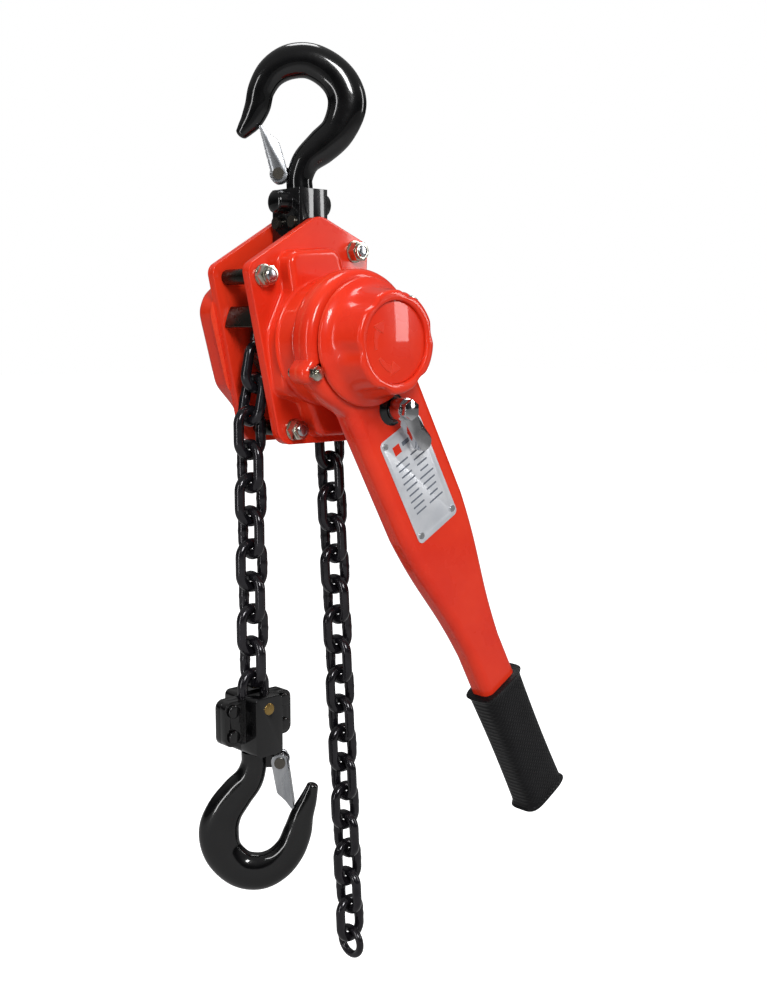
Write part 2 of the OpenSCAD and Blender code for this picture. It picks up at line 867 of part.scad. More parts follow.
// Saw-tooth outline: each tooth rises slowly and drops steeply on its far side
function ratchet_outline(n, r0, r1, drop) = [
    for (i = [0:n - 1])
        let (a = drop + 360 * i / n)
        each [r1 * [cos(a), sin(a)], r0 * [cos(a + 1.5), sin(a + 1.5)]]
];

module ratchet_disc() {
    color(dark_steel)
    at_drive()
    difference() {
        slab(-ratchet_y - ratchet_t, -ratchet_y,
            ratchet_outline(ratchet_count, ratchet_root, ratchet_r, 74));
        rod([0, 0], -ratchet_y - ratchet_t - 1, -ratchet_y + 1, hub_neck_r + run_fit);
    }
}

// Pawl of the upper pin; the lower one is the same piece turned half round
module pawl() {
    beak = ratchet_root + 0.9;
    color(dark_steel)
    difference() {
        union() {
            rod(pawl_at, -ratchet_y - ratchet_t + 0.4, -ratchet_y - 0.4, 6.2);
            slab(-ratchet_y - ratchet_t + 0.4, -ratchet_y - 0.4, [
                pawl_at + [-3, -5], (beak + 0.6) * [cos(82), sin(82)],
                beak * [cos(78), sin(78)],
                (ratchet_r + 2) * [cos(77), sin(77)], pawl_at + [2, 5.6]
            ]);
        }
        rod(pawl_at, -ratchet_y - ratchet_t - 1, -ratchet_y + 1, pawl_pin_r + run_fit);
    }
}

module upper_pawl() {
    at_drive() pawl();
}

module lower_pawl() {
    at_drive() rotate([0, 180, 0]) pawl();
}

module pawl_pins() {
    color(steel)
    at_drive()
    for (p = pawls) {
        rod(p, -ratchet_y - ratchet_t, -plate_in, pawl_pin_r);
        rod(p, -ratchet_y + 0.3, -plate_out, pawl_pin_r + 2);
    }
}

module pawl_springs() {
    color(steel)
    at_drive()
    for (p = pawls)
        for (k = [0:1])
            translate([p[0], -plate_out - 1.2 - 1.4 * k, p[1]])
            rotate([90, 0, 0])
            rotate_extrude($fn = 32)
            translate([pawl_pin_r + 2.8, 0])
            circle(r = 0.6, $fn = 16);
}

module change_gear() {
    gear_back = lever_back_y + 4.4;
    color(steel)
    at_drive()
    difference() {
        union() {
            rod([0, 0], -clamp_y - clamp_t, -clamp_y - 0.1, disc_r);
            rod([0, 0], -gear_back, -clamp_y - 0.1, 16);
            slab(-gear_back - 9, -gear_back + 0.1,
                gear_outline(2 * change_r / (change_teeth + 1.9), change_teeth, -90 + lever_angle));
            rod([0, 0], -lever_front_y - 9, -gear_back, 14);
        }
        rod([0, 0], -lever_front_y - 10, -clamp_y + 1, shaft_r);
    }
}

// ---------------------------------------------------------------- handwheel
module handwheel() {
    hub_r = 19;
    color(paint)
    at_drive()
    rotate([90, 0, 0])
    difference() {
        rotate_extrude($fn = 96)
        polygon(concat(
            [[14, skirt_y], [hub_r, skirt_y], [hub_r, skirt_y + 8], [32, skirt_y + 8],
             [34, skirt_y], [skirt_r, skirt_y], [skirt_r, skirt_y + 3],
             [skirt_r - 4, skirt_y + 6], [wheel_r + 2, skirt_y + 10],
             [wheel_r + 0.6, wheel_front_y - 6]],
            [for (a = [0:22.5:90])
                [wheel_r - 4 + 4 * cos(a), wheel_front_y - 4 + 4 * sin(a)]],
            [[recess_r, wheel_front_y], [recess_r, wheel_front_y - 5.4],
             [hub_r, wheel_front_y - 5.4], [hub_r, skirt_y + 10], [14, skirt_y + 10]]
        ));
        for (i = [0:5])
            rotate([0, 0, 60 * i + 12])
            translate([wheel_r + 22.6, 0, skirt_y + 12])
            cylinder(r = 22, h = 30, $fn = 96);
    }
}

module handwheel_nut() {
    color(zinc)
    at_drive()
    difference() {
        rod([0, 0], -skirt_y - 17, -skirt_y - 10.1, 12, 6);
        rod([0, 0], -skirt_y - 19, -skirt_y - 8, shaft_r);
    }
}

module handwheel_cap() {
    color(paint)
    at_drive()
    rod([0, 0], -wheel_front_y + 2.6, -wheel_front_y + 5.4, recess_r - 0.1, 96);
}

// ---------------------------------------------------------------- lever
// Lever outline, with the drive axis at the origin and the lever along -Z
function blade(d) = [
    [-blade_w / 2 + d, -30, 4], [-blade_w / 2 + d, -150, 60], [-neck_w / 2 + d, -265, 60],
    [-neck_w / 2 + d, -grip_start - 90 + d, 6], [neck_w / 2 - d, -grip_start - 90 + d, 6],
    [neck_w / 2 - d, -265, 60], [blade_w / 2 - d, -150, 60], [blade_w / 2 - d, -30, 4]
];

module lever_solid(y0, y1, d) {
    slab(y0, y1, rounded(blade(d)));
    rod([0, 0], y0, y1, head_r - d, 96);
    for (s = [-1, 1])
        rod([s * bolt_t, bolt_z], y0, y1, 8 - d);
}

module lever_half(y0, y1, inner, hole) {
    difference() {
        lever_solid(y0, y1, 0);
        lever_solid(inner[0], inner[1], shell_t);
        rod([0, 0], y0 - 1, y1 + 1, hole);
        for (s = [-1, 1])
            rod([s * bolt_t, bolt_z], y0 - 1, y1 + 1, 2.5);
        rod([0, -selector_s], y0 - 1, y1 + 1, selector_r + run_fit);
    }
}

pawl_y0 = lever_back_y + 4.8;
pawl_y1 = pawl_y0 + 10;
horn_len = 29.6;
horn_half = 26;
plunger_y = (pawl_y0 + pawl_y1) / 2;
plunger_top = -selector_s - 9.9;
plunger_len = 10.6;
plunger_r = 3;
coil_step = 2;
coils = 5;
seat_top = plunger_top - plunger_len - coils * coil_step;

// Block on the back shell, bored for the plunger or closed under the spring
module detent_block(z0, z1, hole) {
    difference() {
        translate([-6, -plunger_y - 4.5, z0])
        cube([12, plunger_y + 4.5 - lever_back_y - shell_t / 2, z1 - z0]);
        translate([0, -plunger_y, z0 - 1])
        cylinder(r = hole, h = z1 - z0 + 2);
    }
}

module lever_back_shell() {
    color(paint)
    at_lever() {
        lever_half(-lever_split_y, -lever_back_y,
            [-lever_split_y - 1, -lever_back_y - shell_t], 26 + run_fit);
        detent_block(plunger_top - 8.4, plunger_top - 3, plunger_r + run_fit);
        detent_block(seat_top - 4, seat_top, 1);
    }
}

module lever_front_shell() {
    color(paint)
    at_lever()
    difference() {
        union() {
            lever_half(-lever_front_y, -lever_split_y - 0.1,
                [-lever_front_y + shell_t, -lever_split_y + 1], 24);
            difference() {
                rod([0, -selector_s], -lever_front_y - 3, -lever_front_y + 0.1, 8.4);
                rod([0, -selector_s], -lever_front_y - 4, -lever_front_y + 1, selector_r + run_fit);
            }
        }
        for (x = [-18, 18])
            for (z = [-4, -80])
                rod([x - 1, z - plate_s], -lever_front_y - 1, -lever_front_y + shell_t + 1, 1.4);
    }
}

module lever_bolts() {
    color(zinc)
    at_lever()
    for (s = [-1, 1]) {
        p = [s * bolt_t, bolt_z];
        rod(p, -lever_front_y - 6.5, -lever_back_y, 2.5);
        rod(p, -lever_back_y, -lever_back_y + 2.4, 4.5);
        difference() {
            rod(p, -lever_front_y - 4.6, -lever_front_y, 5.2, 6);
            rod(p, -lever_front_y - 5, -lever_front_y + 1, 2.5);
        }
    }
}

grip_y = (lever_back_y + lever_front_y) / 2;

module grip() {
    half_w = neck_w / 2 + 4;
    half_t = 14;
    flare = 2.2;
    color(rubber)
    at_lever()
    difference() {
        translate([0, -grip_y, -grip_start - grip_len]) {
            linear_extrude(4)
            polygon(rounded([[-half_w - flare, -half_t - 1, 7], [half_w + flare, -half_t - 1, 7],
                [half_w + flare, half_t + 1, 7], [-half_w - flare, half_t + 1, 7]]));
            translate([0, 0, 4])
            linear_extrude(grip_len - 7)
            polygon(rounded([[-half_w, -half_t, 6], [half_w, -half_t, 6],
                [half_w, half_t, 6], [-half_w, half_t, 6]]));
            translate([0, 0, grip_len - 3])
            linear_extrude(3)
            polygon(rounded([[-half_w - flare, -half_t - 1, 7], [half_w + flare, -half_t - 1, 7],
                [half_w + flare, half_t + 1, 7], [-half_w - flare, half_t + 1, 7]]));
        }
        slab(-lever_front_y, -lever_back_y, rounded(blade(0)));
    }
}

plate_s = 69;
plate_len = 86;
plate_wid = 44;

module name_plate() {
    y = lever_front_y;
    color(label_white)
    at_lever()
    difference() {
        slab(-y - 0.6, -y, rounded([
            [-plate_wid / 2 - 1, -plate_s, 4], [plate_wid / 2 - 1, -plate_s, 4],
            [plate_wid / 2 - 1, -plate_s - plate_len, 4], [-plate_wid / 2 - 1, -plate_s - plate_len, 4]
        ]));
        for (x = [-18, 18])
            for (z = [-4, -80])
                rod([x - 1, z - plate_s], -y - 1, -y + 1, 1.4);
    }
}

module plate_rivets() {
    y = lever_front_y;
    color(steel)
    at_lever()
    for (x = [-18, 18])
        for (z = [-4, -80]) {
            rod([x - 1, z - plate_s], -y - 0.6, -y + shell_t, 1.4);
            rod([x - 1, z - plate_s], -y - 1.6, -y - 0.6, 2.3);
        }
}

// ---------------------------------------------------------------- selector

module change_pawl() {
    color(dark_steel)
    at_lever()
    translate([0, 0, -selector_s])
    difference() {
        union() {
            rod([0, 0], -pawl_y1, -pawl_y0, 9.5);
            for (s = [-1, 1])
                slab(-pawl_y1, -pawl_y0, [
                    [s * 8.8, -1], [s * (horn_len * sin(horn_half) + 1.6), horn_len * cos(horn_half) - 3],
                    [s * (horn_len * sin(horn_half) + 0.3), horn_len * cos(horn_half)],
                    [s * (horn_len * sin(horn_half) - 0.9), horn_len * cos(horn_half) - 0.3],
                    [s * (horn_len * sin(horn_half) - 3), horn_len * cos(horn_half) - 3.5], [s * 2, 8]
                ]);
        }
        rod([0, 0], -pawl_y1 - 1, -pawl_y0 + 1, selector_r);
        for (a = [-18, 0, 18])
            rod(12.3 * [sin(a), -cos(a)], -pawl_y1 - 1, -pawl_y0 + 1, 3.2);
    }
}

module selector_shaft() {
    color(steel)
    at_lever()
    rod([0, -selector_s], -lever_front_y - 19, -lever_back_y + 1.5, selector_r);
}

module selector_knob() {
    y0 = lever_front_y + 4.5;
    color(chrome)
    at_lever()
    translate([0, 0, -selector_s])
    rotate([0, -10, 0])
    difference() {
        union() {
            rod([0, 0], -y0 - 11, -y0, 8);
            slab(-y0 - 10, -y0 - 3, rounded([
                [-6.5, 2, 2], [6.5, 2, 2], [6, -20, 4], [7, -36, 6], [-7, -36, 6], [-6, -20, 4]
            ]));
        }
        rod([0, 0], -y0 - 12, -y0 + 1, selector_r);
    }
}

module selector_nut() {
    y0 = lever_front_y + 15.6;
    color(chrome)
    at_lever()
    difference() {
        rod([0, -selector_s], -y0 - 5, -y0, 7.4, 6);
        rod([0, -selector_s], -y0 - 4, -y0 + 1, selector_r);
    }
}

module detent_plunger() {
    color(steel)
    at_lever()
    translate([0, -plunger_y, plunger_top - plunger_len])
    cylinder(r = plunger_r, h = plunger_len);
}

module detent_spring() {
    color(steel)
    at_lever()
    for (i = [0:coils - 1])
        translate([0, -plunger_y, seat_top + (i + 0.5) * coil_step])
        rotate_extrude($fn = 32)
        translate([2.6, 0])
        circle(r = 0.6, $fn = 12);
}

// ---------------------------------------------------------------- bottom block
block_x = 12;
block_y = 19;
flange_x = 30;
flange_y = 6;
load_pin_r = 4.4;
load_pin_z = load_end - link_in / 2 + load_pin_r + 0.1;
module block_body() {
    difference() {
        union() {
            slab(-block_y, block_y, rounded([
                [load_x - block_x, block_top, 4], [load_x + block_x, block_top, 4],
                [load_x + block_x, block_bottom, 4], [load_x - block_x, block_bottom, 4]
            ]));
            slab(-flange_y, flange_y, rounded([
                [load_x - flange_x, block_top - 2, 6], [load_x + flange_x, block_top - 2, 6],
                [load_x + flange_x, block_top - 35.5, 6], [load_x - flange_x, block_top - 35.5, 6]
            ]));
        }
        slab(-slot_y, slot_y, [
            [load_x - link_w / 2 - free_gap, block_top + 1],
            [load_x + link_w / 2 + free_gap, block_top + 1],
            [load_x + link_w / 2 + free_gap, load_end - link_half - free_gap],
            [load_x - link_w / 2 - free_gap, load_end - link_half - free_gap]
        ]);
        rod([load_x, load_pin_z], -block_y - 1, block_y + 1, load_pin_r);
        translate([load_x, 0, block_bottom - 1])
        cylinder(r = neck_r + run_fit, h = 7.2);
        translate([load_x, 0, block_bottom + 4.7])
        cylinder(r = collar_r + run_fit, h = collar_t + 0.6);
        for (x = [-23, 23])
            for (z = [-9, -28])
                rod([load_x + x, block_top + z], -flange_y - 1, flange_y + 1, 3);
    }
}

module block_front() {
    color(black_paint)
    at_drive()
    intersection() {
        block_body();
        translate([-120, -40, -400]) cube([160, 40, 400]);
    }
}

module block_back() {
    color(black_paint)
    at_drive()
    intersection() {
        block_body();
        translate([-120, 0, -400]) cube([160, 40, 400]);
    }
}

module block_bolts() {
    color(black_paint)
    at_drive()
    for (x = [-23, 23])
        for (z = [-9, -28]) {
            p = [load_x + x, block_top + z];
            rod(p, -flange_y, flange_y, 3);
            rod(p, -flange_y - 2.6, -flange_y, 4.8);
            rod(p, flange_y, flange_y + 2.6, 4.8);
        }
}

module load_pin() {
    color(brass)
    at_drive()
    rod([load_x, load_pin_z], -block_y - 0.4, block_y + 0.4, load_pin_r);
}

// ---------------------------------------------------------------- scene
top_hook();
top_latch();
top_latch_rivet();
top_latch_spring();
top_yoke_left();
top_yoke_right();
top_yoke_bolts();
top_pin();
brake_side_plate();
gear_side_plate();
stay_bolts();
stay_nuts();
gear_cover();
brake_cover();
chain_guide();
sheave_bearings();
pinion_bush();
pawl_pins();
pawl_springs();
load_sheave();
load_gear();
sheave_links();
pinion_shaft();
brake_hub();
inner_friction_disc();
outer_friction_disc();
change_gear();
handwheel();
handwheel_nut();
handwheel_cap();
ratchet_disc();
upper_pawl();
lower_pawl();
upper_idler_gear();
lower_idler_gear();
lever_back_shell();
lever_front_shell();
lever_bolts();
grip();
name_plate();
plate_rivets();
detent_plunger();
detent_spring();
change_pawl();
selector_shaft();
selector_knob();
selector_nut();
load_chain();
upper_lead_link();
lower_lead_link();
block_front();
block_back();
block_bolts();
load_pin();
tail_chain();
end_ring();
bottom_hook();
bottom_latch();
bottom_latch_rivet();
bottom_latch_spring();
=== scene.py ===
import json
import math

import bpy
import bmesh
import numpy as np
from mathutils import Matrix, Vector


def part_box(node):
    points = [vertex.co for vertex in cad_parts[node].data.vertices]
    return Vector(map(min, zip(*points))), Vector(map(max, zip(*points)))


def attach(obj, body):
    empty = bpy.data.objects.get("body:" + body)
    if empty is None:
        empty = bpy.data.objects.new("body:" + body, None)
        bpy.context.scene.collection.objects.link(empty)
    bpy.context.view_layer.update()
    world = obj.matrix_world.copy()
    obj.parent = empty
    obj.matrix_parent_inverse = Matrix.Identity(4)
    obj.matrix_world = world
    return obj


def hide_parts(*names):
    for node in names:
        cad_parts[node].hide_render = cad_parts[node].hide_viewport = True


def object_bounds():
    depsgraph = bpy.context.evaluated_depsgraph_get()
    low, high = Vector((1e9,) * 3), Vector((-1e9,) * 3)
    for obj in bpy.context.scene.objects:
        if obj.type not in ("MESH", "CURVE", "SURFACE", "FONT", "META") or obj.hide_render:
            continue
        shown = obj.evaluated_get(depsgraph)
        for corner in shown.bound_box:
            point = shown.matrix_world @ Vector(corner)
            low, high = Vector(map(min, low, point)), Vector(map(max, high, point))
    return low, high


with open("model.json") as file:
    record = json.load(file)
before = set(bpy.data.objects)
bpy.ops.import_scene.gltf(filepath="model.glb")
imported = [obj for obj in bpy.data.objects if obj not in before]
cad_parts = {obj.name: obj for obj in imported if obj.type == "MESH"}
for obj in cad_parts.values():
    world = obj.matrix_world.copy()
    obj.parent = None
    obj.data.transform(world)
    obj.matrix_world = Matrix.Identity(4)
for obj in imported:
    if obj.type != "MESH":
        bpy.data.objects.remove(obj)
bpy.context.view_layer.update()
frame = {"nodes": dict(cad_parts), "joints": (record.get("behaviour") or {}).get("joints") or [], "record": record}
nodes = frame["nodes"]
joints = {j["name"]: j for j in frame["joints"]}
mm = 0.001


# the camera stands left of the lever side, a little above the hook, and looks slightly down
view = {
    "place": (-0.5869, -0.7208, -0.1611),
    "turn": -42.89,
    "down": 7.5,
    "lens": 45.13,
    "floorGap": 0.012,
    "floorHalf": 14.0,
}
cameraData = bpy.data.cameras.new("camera")
cameraData.sensor_width = 36
cameraData.lens = view["lens"]
cameraData.clip_end = 100
camera = bpy.data.objects.new("camera", cameraData)
camera.location = view["place"]
camera.rotation_euler = (math.radians(90 - view["down"]), 0, math.radians(view["turn"]))
bpy.context.scene.collection.objects.link(camera)
bpy.context.scene.camera = camera
bpy.context.scene.view_settings.view_transform = "Standard"


def softbox(name, place, target, size, watts):
    # a rectangular lamp that faces the target
    data = bpy.data.lights.new(name, "AREA")
    data.shape = "RECTANGLE"
    data.size, data.size_y = size
    data.energy = watts
    lamp = bpy.data.objects.new(name, data)
    lamp.location = place
    lamp.rotation_euler = (Vector(target) - Vector(place)).to_track_quat("-Z", "Y").to_euler()
    bpy.context.scene.collection.objects.link(lamp)


softbox("keyLight", (-1.0, -1.9, 1.0), (0, 0, -0.25), (0.45, 0.8), 40)
softbox("sideLight", (1.3, -1.3, 0.4), (0, 0, -0.25), (0.25, 1.2), 10)
softbox("leftStrip", (-1.6, -0.2, -0.1), (0, 0, -0.25), (0.14, 1.5), 9)
softbox("topLight", (0.2, 0.3, 1.5), (0, 0, -0.25), (0.7, 0.7), 14)

world = bpy.data.worlds.new("studio")
world.use_nodes = True
bpy.context.scene.world = world


def linear(hexColour, alpha=1.0):
    # sRGB hex to linear: divide by 12.92 in the dark part, a 2.4 power above it
    parts = np.array([int(hexColour[i:i + 2], 16) for i in (1, 3, 5)]) / 255
    low, high = parts / 12.92, ((parts + 0.055) / 1.055) ** 2.4
    return (*np.where(parts <= 0.04045, low, high).tolist(), alpha)


def addNode(tree, kind, settings=None, links=None, stops=()):
    # adds one node; settings are sockets or attributes by name, links join input sockets to outputs,
    # and stops are the (position, colour) pairs of a colour ramp
    made = tree.nodes.new(kind)
    for key, value in (settings or {}).items():
        if isinstance(key, int) or key in made.inputs:
            made.inputs[key].default_value = value
        else:
            setattr(made, key, value)
    for key, output in (links or {}).items():
        tree.links.new(output, made.inputs[key])
    if stops:
        bands = made.color_ramp.elements
        while len(bands) < len(stops):
            bands.new(0.5)
        for band, (place, colour) in zip(bands, stops):
            band.position, band.color = place, colour
    return made


def newMaterial(name, shader):
    # an empty material with its shader, output and object coordinates
    made = bpy.data.materials.new(name)
    made.use_nodes = True
    tree = made.node_tree
    tree.nodes.clear()
    body = addNode(tree, "ShaderNodeBsdfPrincipled", shader)
    out = addNode(tree, "ShaderNodeOutputMaterial")
    tree.links.new(body.outputs["BSDF"], out.inputs["Surface"])
    where = addNode(tree, "ShaderNodeTexCoord").outputs["Object"]
    return made, tree, body, where


def grey(value):
    return (value, value, value, 1)


# a white backdrop for the eye; reflections see a room that is bright above, dark along the horizon, grey below
sky = world.node_tree
sky.nodes.clear()
skyWay = addNode(sky, "ShaderNodeTexCoord").outputs["Generated"]
skyUp = addNode(sky, "ShaderNodeSeparateXYZ", {}, {0: skyWay}).outputs["Z"]
skyHeight = addNode(sky, "ShaderNodeMapRange", {"From Min": -1.0, "From Max": 1.0}, {"Value": skyUp}).outputs["Result"]
skyGrey = addNode(sky, "ShaderNodeValToRGB", {}, {"Fac": skyHeight}, [
    (0.0, grey(0.5)), (0.38, grey(0.42)), (0.47, grey(0.03)), (0.58, grey(0.06)), (0.72, grey(0.5)), (1.0, grey(0.8))])
skyWhite = addNode(sky, "ShaderNodeBackground", {"Color": grey(1), "Strength": 1.0})
skyRoom = addNode(sky, "ShaderNodeBackground", {"Strength": 0.45}, {"Color": skyGrey.outputs["Color"]})
skySeen = addNode(sky, "ShaderNodeLightPath").outputs["Is Camera Ray"]
skyMix = addNode(sky, "ShaderNodeMixShader", {}, {"Fac": skySeen, 1: skyRoom.outputs[0], 2: skyWhite.outputs[0]})
addNode(sky, "ShaderNodeOutputWorld", {}, {"Surface": skyMix.outputs[0]})


def finish(name, shader, low, high, patch, grain, bump, rough, edge=None, stretch=(1, 1, 1)):
    # general finish: slow colour change over patch mm, fine relief of grain mm, roughness from rough[0] to rough[1],
    # and edge colour where the surface turns sharply outwards
    made, tree, body, where = newMaterial(name, shader)
    spread = {"Vector": addNode(tree, "ShaderNodeMapping", {"Scale": stretch}, {"Vector": where}).outputs["Vector"]}
    slow = addNode(tree, "ShaderNodeTexNoise", {"Scale": 1 / (patch * mm), "Detail": 4.0, "Roughness": 0.6}, spread)
    fine = addNode(tree, "ShaderNodeTexNoise", {"Scale": 1 / (grain * mm), "Detail": 3.0, "Roughness": 0.55}, spread)
    slow, fine = slow.outputs["Fac"], fine.outputs["Fac"]
    colour = addNode(tree, "ShaderNodeValToRGB", {}, {"Fac": slow}, [(0.35, low), (0.65, high)]).outputs["Color"]
    if edge:
        turn = addNode(tree, "ShaderNodeNewGeometry").outputs["Pointiness"]
        ragged = addNode(tree, "ShaderNodeMath", {"operation": "MULTIPLY_ADD", 1: 0.06}, {0: fine, 2: turn})
        mask = addNode(tree, "ShaderNodeValToRGB", {}, {"Fac": ragged.outputs["Value"]},
                       [(0.575, grey(0)), (0.62, grey(edge[1]))])
        mixed = addNode(tree, "ShaderNodeMix", {"data_type": "RGBA", 7: edge[0]}, {0: mask.outputs["Color"], 6: colour})
        colour = mixed.outputs[2]
    shine = addNode(tree, "ShaderNodeMapRange", {"To Min": rough[0], "To Max": rough[1]}, {"Value": slow})
    relief = addNode(tree, "ShaderNodeBump", {"Strength": bump[0], "Distance": bump[1] * mm}, {"Height": fine})
    tree.links.new(colour, body.inputs["Base Color"])
    tree.links.new(shine.outputs["Result"], body.inputs["Roughness"])
    tree.links.new(relief.outputs["Normal"], body.inputs["Normal"])
    return made


# stoved gloss enamel on pressed steel: saturated orange-red, sharp lamp lines, slightly paler on worn edges
redEnamel = finish("redEnamelStoved",
                   {"Coat Weight": 0.4, "Coat Roughness": 0.04, "IOR": 1.5, "Specular IOR Level": 0.12},
                   linear("#db2e18"), linear("#e5391e"), 60, 2.4, (0.05, 0.2), (0.24, 0.32), (linear("#f2694a"), 0.5))
# gloss black enamel over a drop forging: deep black, soft lumps from the forging, thin grey wear on edges
blackForged = finish("blackEnamelForged",
                     {"Coat Weight": 0.8, "Coat Roughness": 0.05, "IOR": 1.5, "Specular IOR Level": 0.15},
                     linear("#060607"), linear("#0b0b0c"), 14, 4.2, (0.16, 0.5), (0.16, 0.26), (linear("#353537"), 0.4))
# black oxide on hardened chain steel, oiled: dark, with sharp long highlights
chainBlack = finish("blackOxideChain",
                    {"Metallic": 0.5, "Coat Weight": 0.5, "Coat Roughness": 0.08, "Specular IOR Level": 0.3},
                    linear("#17151a"), linear("#232126"), 8, 1.6, (0.10, 0.2), (0.16, 0.28), (linear("#55525a"), 0.4))
# bright zinc plating on rolled sheet: pale blue grey, faint rolling lines
zincSheet = finish("zincPlatedSheet", {"Metallic": 1.0},
                   linear("#9b9ea3"), linear("#bfc1c4"), 9, 0.9, (0.12, 0.1), (0.2, 0.34),
                   (linear("#e6e6e6"), 0.4), (1, 1, 0.2))
# passivated zinc on turned nuts: silver with a faint straw cast
zincNut = finish("passivatedZincNut", {"Metallic": 1.0},
                 linear("#b5b1a0"), linear("#d6d3c8"), 5, 0.8, (0.1, 0.1), (0.14, 0.26), (linear("#f6f4ea"), 0.6))
# oiled dark steel rod and plate: nearly black metal, turned finish
darkSteel = finish("darkSteelOiled", {"Metallic": 0.85},
                   linear("#26241f"), linear("#35322c"), 10, 0.9, (0.12, 0.1), (0.2, 0.34), (linear("#7a766e"), 0.5))
# ground and machined steel: clean mid grey metal with fine lines
brightSteel = finish("machinedSteel", {"Metallic": 1.0},
                     linear("#a2a5aa"), linear("#bdbfc2"), 8, 0.5, (0.1, 0.08), (0.18, 0.3), (linear("#e8e8e8"), 0.4))
# drawn spring wire
springWire = finish("drawnSpringWire", {"Metallic": 1.0},
                    linear("#8b8d90"), linear("#a5a7aa"), 4, 0.4, (0.1, 0.05), (0.22, 0.34))
# polished chrome plate on the selector: mirror, slightly clouded by handling
chromePlate = finish("chromePlatePolished", {"Metallic": 1.0},
                     linear("#b9babd"), linear("#cfd0d2"), 12, 1.5, (0.03, 0.05), (0.06, 0.14))
# turned brass
brassTurned = finish("brassTurned", {"Metallic": 1.0},
                     linear("#8f7442"), linear("#ab8f58"), 5, 0.5, (0.1, 0.06), (0.2, 0.34))
# pressed brake lining: matt brown with short fibres
brakeLining = finish("pressedBrakeLining", {"IOR": 1.5},
                     linear("#4d4339"), linear("#6a5d4f"), 2, 0.5, (0.4, 0.2), (0.7, 0.9))
# moulded nitrile grip: satin black with a fine leather-like grain
gripRubber = finish("nitrileMoulded", {"IOR": 1.52, "Specular IOR Level": 0.2},
                    linear("#08080a"), linear("#0f0f11"), 12, 1.1, (0.35, 0.3), (0.34, 0.46))
# anodised aluminium label: pale grey, brushed along its length
labelPlate = finish("anodisedLabel", {"Metallic": 0.25, "Coat Weight": 0.4, "Coat Roughness": 0.1},
                    linear("#c2c5cb"), linear("#d2d4d8"), 25, 0.6, (0.05, 0.05), (0.28, 0.36))
# printed ink on the label: flat blue grey
labelInk = finish("printedInk", {"IOR": 1.5}, linear("#5d636e"), linear("#6b727d"), 6, 0.6, (0.05, 0.02), (0.4, 0.5))
# pale matt studio floor that burns out to white for the eye and gives a softer light back to the object
floorPaint = finish("paleFloorPaint", {"IOR": 1.45, "Emission Color": (1, 1, 1, 1), "Specular IOR Level": 0.1},
                    linear("#9a9a9a"), linear("#a0a0a0"), 400, 9, (0.02, 0.1), (0.8, 0.9))
floorTree = floorPaint.node_tree
seen = addNode(floorTree, "ShaderNodeLightPath").outputs["Is Camera Ray"]
glow = addNode(floorTree, "ShaderNodeMapRange", {"To Min": 0.1, "To Max": 1.2}, {"Value": seen})
floorTree.links.new(glow.outputs["Result"], floorTree.nodes["Principled BSDF"].inputs["Emission Strength"])

# the grip's moulded diamonds, 2.8 mm apart: two sets of bands crossing at right angles, 45 degrees either side of
# the lever, which leans 28.5 degrees
diamond = {"pitch": 2.8, "lean": 28.5, "strength": 0.6, "depth": 0.5}
gripTree = gripRubber.node_tree
gripPlace = addNode(gripTree, "ShaderNodeTexCoord").outputs["Object"]
bandSize = {"Scale": 2 * math.pi / (20 * diamond["pitch"] * mm)}
bands = []
for side in (-45, 45):
    turned = addNode(gripTree, "ShaderNodeMapping", {"Rotation": (0, math.radians(diamond["lean"] + side), 0)},
                     {"Vector": gripPlace}).outputs["Vector"]
    bands.append(addNode(gripTree, "ShaderNodeTexWave", bandSize, {"Vector": turned}).outputs["Fac"])
diamonds = addNode(gripTree, "ShaderNodeMath", {"operation": "MINIMUM"}, {0: bands[0], 1: bands[1]}).outputs["Value"]
gripBody = gripTree.nodes["Principled BSDF"]
grain = gripBody.inputs["Normal"].links[0].from_socket
moulded = addNode(gripTree, "ShaderNodeBump", {"Strength": diamond["strength"], "Distance": diamond["depth"] * mm},
                  {"Height": diamonds, "Normal": grain})
gripTree.links.new(moulded.outputs["Normal"], gripBody.inputs["Normal"])

slotMaterials = {
    "black_enamel": blackForged, "zinc_sheet": zincSheet, "dark_steel": darkSteel,
    "spring_steel": springWire, "bright_steel": brightSteel, "red_enamel": redEnamel,
    "zinc_nuts": zincNut, "brass": brassTurned, "brass_pin": brassTurned,
    "chain_steel": chainBlack, "brake_lining": brakeLining, "grip_rubber": gripRubber,
    "label_plate": labelPlate, "chrome": chromePlate,
}
slotOf = {s["node"]: s["material_slot"] for s in frame["record"]["subparts"]}
for name, node in nodes.items():
    node.data.materials.clear()
    node.data.materials.append(slotMaterials[slotOf[name]])
bodyOf = {n: b for b, group in frame["record"]["behaviour"]["bodies"].items() for n in group}
print("materials ready:", len(bpy.data.materials))


def gridQuads(rows, cols, wrapRows=False):
    # corner numbers of the quads of a grid whose columns close on themselves
    r = np.arange(rows if wrapRows else rows - 1)[:, None]
    c = np.arange(cols)[None, :]
    up, side = (r + 1) % rows, (c + 1) % cols
    return np.stack([r * cols + c, up * cols + c, up * cols + side, r * cols + side], -1).reshape(-1, 4)


